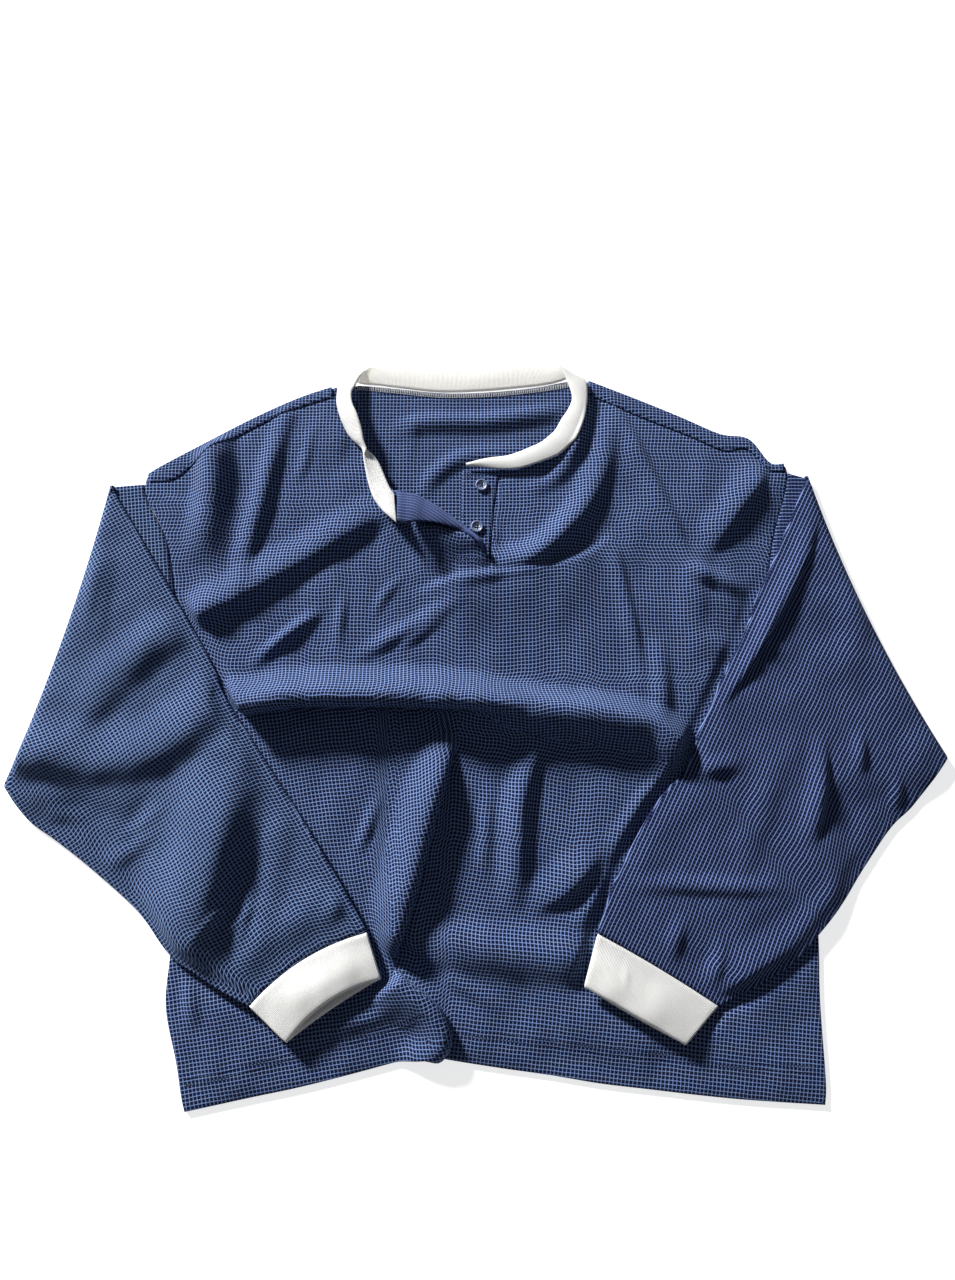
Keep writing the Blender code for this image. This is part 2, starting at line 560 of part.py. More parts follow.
def build_sleeve(name, armhole, top_edge, under_edge, folds, side, bow, cuff_bow):
    """Sleeve: a flattened tube out from the armhole, turned over at its fold, back to the wrist.

    bow is how far the fold line sags towards the body, cuff_bow how far the wrist seam curves
    up the sleeve, and side is -1 for the sleeve on the -X side.
    """
    half = WALL + GAP / 2.0
    turn_radius = half + GAP / 2.0
    centre_z = turn_radius + half
    profile = flat_ring(half, WALL)
    lower_area = LOWER_SLEEVE_LEFT if side < 0 else LOWER_SLEEVE_RIGHT
    fold_start, fold_end = top_edge[0], under_edge[0]
    axis_start, axis_end, along = inset_ends(fold_start, fold_end, half)
    outward = (along[1] * side * -1.0, along[0] * side)
    if outward[0] * side < 0.0:
        outward = (-outward[0], -outward[1])
    reach = turn_radius + half

    def fold_line(share):
        sag = 4.0 * share * (1.0 - share) * bow + reach
        x = axis_start[0] + (axis_end[0] - axis_start[0]) * share - outward[0] * sag
        y = axis_start[1] + (axis_end[1] - axis_start[1]) * share - outward[1] * sag
        return x, y

    rings = []
    for row in range(LOWER_ROWS):
        part = row / LOWER_ROWS
        ring = []
        for share, out, height in profile:
            ax, ay = point_at(armhole, ARMHOLE_TRIM + (1.0 - 2.0 * ARMHOLE_TRIM) * share)
            fx, fy = fold_line(share)
            x = ax + side * SEAM_GAP + (fx - ax) * part
            y = ay + (fy - ay) * part
            ring.append((x + along[0] * out, y + along[1] * out, half - height))
        rings.append(ring)
    for turn in TURN_ANGLES:
        angle = math.radians(turn)
        ring = []
        for share, out, height in profile:
            fx, fy = fold_line(share)
            distance = turn_radius + height
            ring.append((fx + along[0] * out + outward[0] * distance * math.sin(angle),
                         fy + along[1] * out + outward[1] * distance * math.sin(angle),
                         centre_z - distance * math.cos(angle)))
        rings.append(ring)
    for row in range(1, UPPER_ROWS + 1):
        part = row / UPPER_ROWS
        start, end, across = inset_ends(point_at(top_edge, part), point_at(under_edge, part), half)
        wristward = (across[1] * side, -across[0] * side)
        wrist_part = (part - WRIST_CURVE_START) / (1.0 - WRIST_CURVE_START)
        curve = (1.0 - smooth(part / BOW_SHARE)) * bow - cuff_bow * smooth(wrist_part)
        ring = []
        for share, out, height in profile:
            lift = 4.0 * share * (1.0 - share) * curve
            x = start[0] + (end[0] - start[0]) * share + across[0] * out + wristward[0] * lift
            y = start[1] + (end[1] - start[1]) * share + across[1] * out + wristward[1] * lift
            ground = sleeve_ground(lower_area, x, y)
            z = ground + half + height
            if height > 0.0:
                edge = smooth(min(share, 1.0 - share) / EDGE_SHARE)
                wrist = 1.0 - smooth((part - 1.0 + WRIST_SHARE) / WRIST_SHARE)
                z += (fold_relief(folds, x, y)[0] + SLEEVE_LOFT) * edge * wrist
            ring.append((x, y, z))
        rings.append(ring)
    vertices, faces = tube(rings)
    return add_piece(name, vertices, faces, "waffle_knit", WALL), rings[-1]


def build_cuff(name, seam_top, seam_under, end, side, cuff_bow, mouth_bow, crown):
    """Cuff: a short flattened tube from the wrist seam to its slightly open mouth."""
    half = CUFF_WALL + GAP / 2.0
    profile = flat_ring(half, CUFF_WALL)
    rings = []
    across = inset_ends(seam_top, seam_under, 0.0)[2]
    down = (across[1] * side, -across[0] * side)
    gap = 2.0 * SEAM_GAP
    for row in range(CUFF_ROWS + 1):
        part = row / CUFF_ROWS
        first = tuple(a + d * gap + (b - a - d * gap) * part for a, b, d in zip(seam_top, end[0], down))
        last = tuple(a + d * gap + (b - a - d * gap) * part for a, b, d in zip(seam_under, end[1], down))
        start, stop, across = inset_ends(first, last, half + SEAM_GAP * (1.0 - part))
        ring = []
        for share, out, height in profile:
            mouth = mouth_bow if height > 0.0 else mouth_bow * CUFF_UNDER_SHARE
            curve = cuff_bow + (mouth - cuff_bow) * part
            lift = 4.0 * share * (1.0 - share) * curve
            x = start[0] + (stop[0] - start[0]) * share + across[0] * out - down[0] * lift
            y = start[1] + (stop[1] - start[1]) * share + across[1] * out - down[1] * lift
            z = SLEEVE_LIFT + CUFF_REST + half + height
            if height > 0.0:
                z += crown * math.sin(math.pi * share) * smooth(part * CUFF_CROWN_START)
            ring.append((x, y, z))
        rings.append(ring)
    vertices, faces = tube(rings)
    return add_piece(name, vertices, faces, "rib_trim", CUFF_WALL)


def build_neck_band():
    """Neck band: a strip along the neck seam, turned to the lean of each station."""
    rows = []
    for index, (x, y, z, lean, width, away) in enumerate(BAND_STATIONS):
        before = BAND_STATIONS[max(0, index - 1)]
        after = BAND_STATIONS[min(len(BAND_STATIONS) - 1, index + 1)]
        dx, dy = after[0] - before[0], after[1] - before[1]
        length = math.hypot(dx, dy)
        outward = (-dy / length, dx / length)
        angle = math.radians(lean)
        row = []
        for step in range(BAND_STEPS + 1):
            reach = width * step / BAND_STEPS
            flat = reach * math.cos(angle) + away * (SEAM_GAP + 0.5 * RIB_WALL * math.sin(angle))
            row.append((x + outward[0] * flat, y + outward[1] * flat, z + reach * math.sin(angle)))
        rows.append(row)
    vertices = [point for row in rows for point in row]
    faces = []
    size = BAND_STEPS + 1
    for row in range(len(rows) - 1):
        for step in range(BAND_STEPS):
            a = row * size + step
            faces.append((a, a + 1, a + 1 + size, a + size))
    return add_piece("neck_band", vertices, faces, "rib_trim", RIB_WALL)


def build_placket_upper(outline):
    """Upper placket strip, turned open and lying on the front beside the slit."""
    vertices = []
    faces = []
    for (rx, ry), (fx, fy) in zip(FLAP_ROLL, FLAP_FREE):
        for step in range(FLAP_STEPS + 1):
            part = step / FLAP_STEPS
            crown = FLAP_CROWN * math.sin(math.pi * part)
            x, y, z = front_point(outline, rx + (fx - rx) * part, ry + (fy - ry) * part)
            vertices.append((x, y, z + LAYER + FLAP_LIFT + crown))
    size = FLAP_STEPS + 1
    for row in range(len(FLAP_ROLL) - 1):
        for step in range(FLAP_STEPS):
            a = row * size + step
            faces.append((a, a + size, a + size + 1, a + 1))
    return add_piece("placket_upper", vertices, faces, "waffle_knit", WALL)


def build_placket_under():
    """Under placket strip, which carries the buttons and lies on the back panel's inner side."""
    vertices = [(x, y, FRONT_Z - UNDER_DROP) for x, y in UNDER_PLACKET]
    return add_piece("placket_under", vertices, [tuple(range(len(vertices)))], "waffle_knit", WALL)


def build_button(name, place):
    """Button: a turned disc with a raised rim and a dished face."""
    base = FRONT_Z + WALL / 2.0 + BUTTON_GAP
    radius = BUTTON_RADIUS
    thick = BUTTON_THICKNESS
    section = [
        # share of the radius, share of the thickness
        (0.0, 0.0), (0.80, 0.0), (0.97, 0.22), (1.0, 0.55), (0.94, 0.90), (0.82, 1.0), (0.68, 0.86),
        (0.55, 0.66), (0.0, 0.62),
    ]
    vertices = [(place[0], place[1], base)]
    for ring, height in section[1:-1]:
        for index in range(BUTTON_SIDES):
            angle = 2.0 * math.pi * index / BUTTON_SIDES
            vertices.append((place[0] + radius * ring * math.cos(angle),
                             place[1] + radius * ring * math.sin(angle), base + thick * height))
    vertices.append((place[0], place[1], base + thick * section[-1][1]))
    faces = []
    for index in range(BUTTON_SIDES):
        faces.append((0, 1 + (index + 1) % BUTTON_SIDES, 1 + index))
    for ring in range(len(section) - 3):
        first = 1 + ring * BUTTON_SIDES
        for index in range(BUTTON_SIDES):
            following = (index + 1) % BUTTON_SIDES
            above = first + BUTTON_SIDES
            faces.append((first + index, first + following, above + following, above + index))
    last = 1 + (len(section) - 3) * BUTTON_SIDES
    for index in range(BUTTON_SIDES):
        faces.append((last + index, last + (index + 1) % BUTTON_SIDES, len(vertices) - 1))
    return add_piece(name, vertices, faces, "button")


def main():
    """Build the whole top."""
    clear_scene()
    build_back()
    outline = front_outline()
    build_front(outline)
    build_sleeve("sleeve_left", ARMHOLE_LEFT, SLEEVE_LEFT_TOP_EDGE, SLEEVE_LEFT_UNDER_EDGE,
                 SLEEVE_LEFT_FOLDS, -1, 0.0, 15.0)
    build_sleeve("sleeve_right", ARMHOLE_RIGHT, SLEEVE_RIGHT_TOP_EDGE, SLEEVE_RIGHT_UNDER_EDGE,
                 SLEEVE_RIGHT_FOLDS, 1, 9.0, 4.0)
    build_cuff("cuff_left", SLEEVE_LEFT_TOP_EDGE[-1], SLEEVE_LEFT_UNDER_EDGE[-1], CUFF_LEFT_END,
               -1, 15.0, 14.0, 3.2)
    build_cuff("cuff_right", SLEEVE_RIGHT_TOP_EDGE[-1], SLEEVE_RIGHT_UNDER_EDGE[-1], CUFF_RIGHT_END,
               1, 4.0, 1.0, 2.5)
    build_neck_band()
    build_placket_upper(outline)
    build_placket_under()
    for name, place in BUTTONS:
        build_button(name, place)


main()
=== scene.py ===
"""Thermal top: a waffle-knit henley laid flat, with its sleeves folded in over the body.

Tables are in millimetres in the model's own frame: X across the top, Y from the hem to the
collar, Z up from the surface it lies on.  Every cloth piece is a thin shell over its solid.
"""
import logging
import math
from dataclasses import dataclass, field
from enum import Enum
from typing import Sequence

import bmesh
import bpy
import numpy as np
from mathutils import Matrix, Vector
from mathutils.geometry import delaunay_2d_cdt
from mathutils.kdtree import KDTree


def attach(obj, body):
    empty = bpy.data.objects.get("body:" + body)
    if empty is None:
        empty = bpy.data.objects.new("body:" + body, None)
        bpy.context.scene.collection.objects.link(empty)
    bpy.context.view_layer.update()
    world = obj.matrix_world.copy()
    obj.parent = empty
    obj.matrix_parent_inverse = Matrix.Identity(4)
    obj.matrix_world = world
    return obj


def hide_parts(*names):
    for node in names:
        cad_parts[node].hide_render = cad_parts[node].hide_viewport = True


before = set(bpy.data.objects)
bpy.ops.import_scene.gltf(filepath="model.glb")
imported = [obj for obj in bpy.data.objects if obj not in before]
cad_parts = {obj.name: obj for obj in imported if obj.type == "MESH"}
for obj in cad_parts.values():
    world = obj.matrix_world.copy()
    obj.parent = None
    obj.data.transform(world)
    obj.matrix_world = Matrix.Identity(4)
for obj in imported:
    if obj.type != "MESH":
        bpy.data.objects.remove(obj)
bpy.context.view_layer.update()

LOG = logging.getLogger("thermal_top")

MM = 0.001
WALL = 1.5                 # waffle cloth
RIB_WALL = 2.0             # doubled rib
SOLID_WALL = 1.7           # cloth wall of the solids, which sets the layers' heights
GAP = 0.4                  # clear space between layers
SEAM_GAP = 0.30            # clear space along a seam
BACK_Z = SOLID_WALL / 2.0
FRONT_Z = SOLID_WALL + GAP + SOLID_WALL / 2.0
LAYER = SOLID_WALL + GAP
SLEEVE_LIFT = 2.0 * LAYER + 0.1
WAFFLE_PITCH = 3.55        # from one ridge of the knit to the next
WAVE_COUNT = 18            # fine waves of the cloth, all together
WAVE_LENGTHS = (22.0, 110.0)
WAVE_GAIN = 3.0
ARMHOLE_TRIM = 0.012       # share of the armhole left free at each end

Colour = tuple[float, float, float]
Plan = Sequence[tuple[float, float]]


class Side(Enum):
    """A side of the top as seen from above, with the sign of its X."""

    LEFT = -1
    RIGHT = 1


class Slot(Enum):
    """Material slots of the record."""

    WAFFLE = "waffle_knit"
    RIB = "rib_trim"
    BUTTON = "button"


class Held(Enum):
    """How a sheet of cloth lies."""

    LAID = "laid"
    FOLDED = "folded"


# ------------------------------------------------------------------ plan geometry
def ease(value: np.ndarray | float) -> np.ndarray:
    """Ease values from 0 to 1, clamped at both ends."""
    value = np.clip(value, 0.0, 1.0)
    return value * value * (3.0 - 2.0 * value)


def running(steps: np.ndarray, axis: int = 0) -> np.ndarray:
    """Running sums along an axis, starting from 0."""
    return np.insert(np.cumsum(steps, axis=axis), 0, 0.0, axis=axis)


def lengths(grid: np.ndarray, axis: int) -> np.ndarray:
    """Running lengths along one axis of a grid of points in space."""
    return running(np.linalg.norm(np.diff(grid, axis=axis), axis=2), axis)


def unit(vector: np.ndarray) -> np.ndarray:
    """A plan vector brought to length 1."""
    return vector / np.hypot(*vector)


def circle(angles: np.ndarray) -> np.ndarray:
    """Plan points at angles round a circle of radius 1."""
    return np.stack([np.cos(angles), np.sin(angles)], axis=1)


def rounded(points: np.ndarray, steps: int = 6) -> np.ndarray:
    """Catmull-Rom curve through the rows of an array.

    Args:
        points: Rows of any number of columns.
        steps: Steps between two rows.

    Returns:
        The rows of the curve, the given ones among them.
    """
    points = np.asarray(points, float)
    padded = np.vstack([2 * points[0] - points[1], points, 2 * points[-1] - points[-2]])
    rows = []
    for index in range(1, len(padded) - 2):
        p0, p1, p2, p3 = padded[index - 1:index + 3]
        for step in range(steps):
            t = step / steps
            rows.append(0.5 * (2 * p1 + (p2 - p0) * t + (2 * p0 - 5 * p1 + 4 * p2 - p3) * t * t
                               + (3 * p1 - p0 - 3 * p2 + p3) * t ** 3))
    rows.append(points[-1])
    return np.array(rows)


@dataclass
class Path:
    """A line in plan that places are measured from."""

    points: Plan | np.ndarray

    def __post_init__(self) -> None:
        """Measure the running length at each point."""
        self.points = np.asarray(self.points, float)[:, :2]
        self.start = self.points[:-1]
        self.delta = np.diff(self.points, axis=0)
        self.span = np.maximum(np.hypot(self.delta[:, 0], self.delta[:, 1]), 1e-9)
        self.run = running(self.span)

    @property
    def length(self) -> float:
        """Whole length in millimetres."""
        return float(self.run[-1])

    def at(self, fraction: np.ndarray | float) -> np.ndarray:
        """Points at fractions of the length.

        Args:
            fraction: Fractions from 0 to 1.

        Returns:
            Plan points, one row for each.
        """
        target = np.clip(np.atleast_1d(fraction), 0.0, 1.0) * self.length
        return np.stack([np.interp(target, self.run, self.points[:, axis]) for axis in (0, 1)], axis=1)

    def resampled(self, step: float) -> np.ndarray:
        """Points along the line, its own corners kept.

        Args:
            step: About how far apart they lie.

        Returns:
            Plan points, one row for each.
        """
        rows = [self.points[0]]
        for start, delta, span in zip(self.start, self.delta, self.span):
            count = max(1, round(span / step))
            rows += [start + delta * (index / count) for index in range(1, count + 1)]
        return np.array(rows)

    def nearest(self, places: np.ndarray) -> tuple[np.ndarray, np.ndarray, np.ndarray, np.ndarray]:
        """Measure places from the line.

        Args:
            places: Plan points, one row each.

        Returns:
            Distance, side (1 on the right hand), running length and right-hand normal.
        """
        best = np.full(len(places), np.inf)
        which = np.zeros(len(places), int)
        share = np.zeros(len(places))
        for index, (start, delta, span) in enumerate(zip(self.start, self.delta, self.span)):
            x, y = places[:, 0] - start[0], places[:, 1] - start[1]
            part = np.clip((x * delta[0] + y * delta[1]) / span ** 2, 0.0, 1.0)
            gap = (x - part * delta[0]) ** 2 + (y - part * delta[1]) ** 2
            closer = gap < best
            best[closer] = gap[closer]
            which[closer] = index
            share[closer] = part[closer]
        delta, span = self.delta[which], self.span[which]
        offset = places - self.start[which]
        side = np.where(offset[:, 0] * delta[:, 1] - offset[:, 1] * delta[:, 0] > 0.0, 1.0, -1.0)
        normal = np.stack([delta[:, 1], -delta[:, 0]], axis=1) / span[:, None]
        return np.sqrt(best), side, self.run[which] + share * span, normal


@dataclass
class Area:
    """A closed outline in plan."""

    points: Plan | np.ndarray

    def __post_init__(self) -> None:
        """Close the outline as a path."""
        self.points = np.asarray(self.points, float)[:, :2]
        self.edge = Path(np.vstack([self.points, self.points[:1]]))

    def contains(self, places: np.ndarray) -> np.ndarray:
        """Tell places inside from places outside.

        Args:
            places: Plan points, one row each.

        Returns:
            True for each place inside.
        """
        x, y = places[:, 0], places[:, 1]
        hit = np.zeros(len(places), bool)
        for (ax, ay), (bx, by) in zip(self.points, np.roll(self.points, -1, axis=0)):
            if ay == by:
                continue
            crosses = (ay > y) != (by > y)
            hit ^= crosses & (x < (bx - ax) * (y - ay) / (by - ay) + ax)
        return hit

    def outside(self, places: np.ndarray) -> np.ndarray:
        """Distance from the outline, 0 inside it."""
        return np.where(self.contains(places), 0.0, self.edge.nearest(places)[0])

    def inner(self, places: np.ndarray) -> np.ndarray:
        """Distance to the edge for every place."""
        return self.edge.nearest(places)[0]


# ------------------------------------------------------------------ folds
@dataclass(frozen=True)
class Fold:
    """A crease in the cloth: a ridge, or a trough where its heights are negative.

    The crest leans over the side on the right hand, going along its points.
    """

    name: str
    crest: tuple[tuple[float, float, float], ...]   # x, y, height
    before: float                                   # width of the slope on the left hand
    lee: float                                      # width of the slope on the right hand
    lean: float = 0.0                               # how far the crest leans
    bulge: float = 0.0                              # how far the right-hand slope swells past the crest
    peak: float = 1.0                               # 1 round, above 1 a sharper crest


@dataclass
class Folds:
    """A set of folds and the fine unevenness of one stretch of cloth."""

    folds: Sequence[Fold]
    waves: float = 0.0
    seed: int = 1

    def __post_init__(self) -> None:
        """Round each crest and draw the directions of the fine waves."""
        self.crests = [(fold, rounded(np.array(fold.crest))) for fold in self.folds]
        draw = np.random.default_rng(self.seed)
        angle = draw.uniform(0.0, math.tau, WAVE_COUNT)
        wavelength = np.geomspace(*WAVE_LENGTHS, WAVE_COUNT)
        self.wave_x = math.tau * np.cos(angle) / wavelength
        self.wave_y = math.tau * np.sin(angle) / wavelength
        self.wave_phase = draw.uniform(0.0, math.tau, WAVE_COUNT)
        self.wave_size = wavelength / wavelength.sum()

    def relief(self, places: np.ndarray) -> tuple[np.ndarray, np.ndarray]:
        """Height and sideways shift that the folds give.

        Args:
            places: Plan points, one row each.

        Returns:
            Heights, and plan shifts of the same number of rows.
        """
        height = np.zeros(len(places))
        shift = np.zeros((len(places), 2))
        for fold, crest in self.crests:
            reach = max(fold.before, fold.lee)
            low = crest[:, :2].min(0) - reach
            high = crest[:, :2].max(0) + reach
            near = np.flatnonzero(((places > low) & (places < high)).all(1))
            if not len(near):
                continue
            path = Path(crest)
            distance, side, run, normal = path.nearest(places[near])
            width = np.where(side > 0.0, fold.lee, fold.before)
            share = np.clip(distance / width, 0.0, 1.0)
            shape = (0.5 + 0.5 * np.cos(np.pi * share)) ** fold.peak
            tall = np.interp(run, path.run, crest[:, 2])
            height[near] += tall * shape
            most = np.abs(crest[:, 2]).max()
            push = fold.lean * shape + np.where(side > 0.0, fold.bulge * np.sin(np.pi * share), 0.0)
            shift[near] += normal * (push * tall / most)[:, None]
        return height, shift

    def unevenness(self, places: np.ndarray) -> np.ndarray:
        """Fine waves of the cloth, in millimetres."""
        angle = places[:, :1] * self.wave_x + places[:, 1:2] * self.wave_y + self.wave_phase
        return self.waves * (np.sin(angle) * self.wave_size).sum(1) * WAVE_GAIN


# ------------------------------------------------------------------ finishes
@dataclass
class Graph:
    """A short way to build a material's nodes."""

    name: str

    def __post_init__(self) -> None:
        """Make a material with a Principled shader and the piece's own coordinates."""
        self.material = bpy.data.materials.new(self.name)
        self.material.use_nodes = True
        self.tree = self.material.node_tree
        self.shader = self.tree.nodes["Principled BSDF"]
        self.place = self.node("TexCoord").outputs["Object"]

    def give(self, socket: bpy.types.NodeSocket, value: object) -> None:
        """Link an input, or set it.

        Args:
            socket: The input.
            value: Another node's output, or a plain value.
        """
        if isinstance(value, bpy.types.NodeSocket):
            self.tree.links.new(value, socket)
        else:
            socket.default_value = value

    def node(self, kind: str, inputs: dict | None = None, **settings: object) -> bpy.types.Node:
        """Add a node.

        Args:
            kind: Node type, without the words that every shader node's type starts with.
            inputs: Values or sockets for its inputs, by name or number.
            **settings: Properties of the node.

        Returns:
            The new node.
        """
        made = self.tree.nodes.new("ShaderNode" + kind)
        for key, value in settings.items():
            setattr(made, key, value)
        for key, value in (inputs or {}).items():
            self.give(made.inputs[key], value)
        return made

    def set(self, **values: object) -> bpy.types.Material:
        """Set or link the shader's inputs, underscores standing for spaces.

        Args:
            **values: Values or sockets by the input's name.

        Returns:
            The finished material.
        """
        for key, value in values.items():
            self.give(self.shader.inputs[key.replace("_", " ")], value)
        return self.material

    def cloth(self, wander: bpy.types.NodeSocket | None = None) -> list[bpy.types.NodeSocket]:
        """Read the cloth map.

        Args:
            wander: A vector that moves it.

        Returns:
            The two cloth directions in metres.
        """
        place = self.node("UVMap", uv_map="cloth").outputs[0]
        if wander is not None:
            place = self.node("VectorMath", {0: place, 1: wander}, operation='ADD').outputs[0]
        return self.node("SeparateXYZ", {0: place}).outputs[:2]

    def math(self, operation: str, first: object, second: object = 0.0) -> bpy.types.NodeSocket:
        """Output of a Math node."""
        return self.node("Math", {0: first, 1: second}, operation=operation).outputs[0]

    def times(self, first: object, second: object) -> bpy.types.NodeSocket:
        """Product of two values."""
        return self.math('MULTIPLY', first, second)

    def plus(self, first: object, second: object) -> bpy.types.NodeSocket:
        """Sum of two values."""
        return self.math('ADD', first, second)

    def wave(self, metres: object, pitch: float) -> bpy.types.NodeSocket:
        """Cosine wave with a pitch in millimetres along a length in metres."""
        return self.math('COSINE', self.times(metres, math.tau / (pitch * MM)))

    def range(self, value: object, low: float, high: float, to_low: float = 0.0,
              to_high: float = 1.0) -> bpy.types.NodeSocket:
        """Output of a smooth Map Range node."""
        return self.node("MapRange", {0: value, 1: low, 2: high, 3: to_low, 4: to_high},
                         interpolation_type='SMOOTHSTEP').outputs[0]

    def noise(self, scale: float, detail: float = 2.0, distortion: float = 0.0,
              output: str = "Fac") -> bpy.types.NodeSocket:
        """Noise over the piece."""
        return self.node("TexNoise", {"Vector": self.place, "Scale": scale, "Detail": detail,
                                      "Distortion": distortion}).outputs[output]

    def colour(self, share: object, first: Colour, second: Colour) -> bpy.types.NodeSocket:
        """Colour mixed between two."""
        return self.node("Mix", {0: share, 6: (*first, 1.0), 7: (*second, 1.0)}, data_type='RGBA').outputs[2]

    def bump(self, height: object, millimetres: float, strength: float) -> bpy.types.NodeSocket:
        """Normal of a raised surface."""
        return self.node("Bump", {"Height": height, "Distance": millimetres * MM,
                                  "Strength": strength}).outputs[0]


@dataclass(frozen=True)
class WaffleFinish:
    """Waffle knit: raised ridges both ways round sunken squares, with painted shade in the squares and a
    painted highlight where the ridges cross.
    """

    name: str
    ridge: Colour = (0.215, 0.320, 0.620)
    # painted shade: near-black colour of the sunken squares, standing for the shade that falls in them
    pit_shade: Colour = (0.004, 0.0065, 0.036)
    wale: float = 1.0          # how strongly the ridges along the cloth show
    course: float = 1.0        # how strongly the ridges across the cloth show
    depth: float = 0.9         # height of the ridges in millimetres
    wander: float = 1.1        # how far the rows wander, in millimetres

    def build(self) -> bpy.types.Material:
        """Make the material.

        Returns:
            A material that reads the cloth map in metres.
        """
        g = Graph(self.name)
        wander = g.node("VectorMath", {0: g.noise(90.0, output="Color"), 1: (0.5, 0.5, 0.5)},
                        operation='SUBTRACT').outputs[0]
        wander = g.node("VectorMath", {0: wander, "Scale": self.wander * MM}, operation='SCALE').outputs[0]
        across, along = g.cloth(wander)
        wale = g.times(g.range(g.wave(across, WAFFLE_PITCH), 0.15, 1.0), self.wale)
        course = g.times(g.range(g.wave(along, WAFFLE_PITCH), 0.10, 1.0), self.course)
        ridge, crossing = g.math('MAXIMUM', wale, course), g.times(wale, course)
        yarn, cast = g.noise(1400.0), g.noise(26.0, 3.0)
        # painted highlight where the ridges cross, over the painted shade of the pits; yarn and cast add random
        # tone
        share = g.plus(g.times(ridge, 0.62), g.times(crossing, 0.38))
        share = g.times(share, g.range(yarn, 0.2, 0.8, 0.86, 1.1))
        share = g.times(share, g.range(cast, 0.3, 0.7, 0.93, 1.05))
        height = g.plus(g.plus(g.times(ridge, 0.75), g.times(crossing, 0.25)), g.times(yarn, 0.12))
        return g.set(Base_Color=g.colour(share, self.pit_shade, self.ridge), Normal=g.bump(height, self.depth, 0.9),
                     Roughness=0.94, Specular_IOR_Level=0.08, Sheen_Weight=0.08, Sheen_Roughness=0.5,
                     Sheen_Tint=(0.45, 0.62, 1.0, 1.0))


@dataclass(frozen=True)
class RibFinish:
    """Fine off-white rib, ribs running along the second cloth direction, with painted shade in the grooves
    between them.
    """

    name: str
    colour: Colour = (0.93, 0.925, 0.90)
    # painted shade: darker colour of the grooves between the ribs
    groove_shade: Colour = (0.74, 0.735, 0.71)
    pitch: float = 1.3         # from rib to rib
    stitch: float = 0.9        # from stitch to stitch along a rib

    def build(self) -> bpy.types.Material:
        """Make the material.

        Returns:
            The finished material.
        """
        g = Graph(self.name)
        across, along = g.cloth()
        across = g.plus(across, g.times(g.noise(160.0), 0.0006))
        rib, fibre = g.range(g.wave(across, self.pitch), -0.9, 0.7), g.noise(900.0, 3.0)
        share = g.times(rib, g.range(fibre, 0.25, 0.75, 0.72, 1.0))
        height = g.plus(g.times(rib, 0.7), g.times(g.wave(along, self.stitch), 0.06))
        height = g.plus(height, g.times(fibre, 0.5))
        return g.set(Base_Color=g.colour(share, self.groove_shade, self.colour), Normal=g.bump(height, 0.35, 0.7),
                     Roughness=0.92, Specular_IOR_Level=0.15, Sheen_Weight=0.15, Sheen_Roughness=0.5,
                     Subsurface_Weight=0.4, Subsurface_Radius=(1.0, 0.95, 0.85), Subsurface_Scale=0.008)


@dataclass(frozen=True)
class ThreadFinish:
    """Twisted sewing thread, with painted shade between its plies."""

    name: str
    colour: Colour

    def build(self) -> bpy.types.Material:
        """Make the material.

        Returns:
            The finished material.
        """
        g = Graph(self.name)
        twist = g.node("TexWave", {"Vector": g.place, "Scale": 900.0, "Distortion": 2.0},
                       bands_direction='DIAGONAL').outputs["Fac"]
        # painted shade between the thread's twisted plies
        twist_shade = tuple(channel * 0.6 for channel in self.colour)
        return g.set(Base_Color=g.colour(twist, twist_shade, self.colour), Roughness=0.7,
                     Normal=g.bump(twist, 0.1, 0.5))


@dataclass(frozen=True)
class ButtonFinish:
    """Moulded button with faint cloudy streaks and a soft shine."""

    name: str
    colour: Colour = (0.135, 0.175, 0.310)
    cloud: Colour = (0.215, 0.260, 0.400)

    def build(self) -> bpy.types.Material:
        """Make the material.

        Returns:
            The finished material.
        """
        g = Graph(self.name)
        cloud, scratch = g.noise(220.0, 4.0, 1.5), g.noise(2500.0)
        return g.set(Base_Color=g.colour(g.range(cloud, 0.35, 0.7), self.colour, self.cloud),
                     Roughness=g.range(scratch, 0.3, 0.7, 0.26, 0.42), Normal=g.bump(scratch, 0.04, 0.4),
                     Coat_Weight=0.25, Coat_Roughness=0.2)


@dataclass(frozen=True)
class FloorFinish:
    """Pale, even floor."""

    name: str = "floor_paint"

    def build(self) -> bpy.types.Material:
        """Make the material."""
        return Graph(self.name).set(Base_Color=(0.93, 0.93, 0.93, 1.0), Roughness=0.9, Specular_IOR_Level=0.1,
                                    Emission_Color=(1.0, 1.0, 1.0, 1.0), Emission_Strength=0.7)


# ------------------------------------------------------------------ making pieces
@dataclass(frozen=True)
class Cut:
    """Flat size and area of the cloth that shows, in metres, and how it lies."""

    width: float
    length: float
    area: float
    held: Held = Held.LAID
    rests_on: tuple[str, ...] = ("front_panel",)


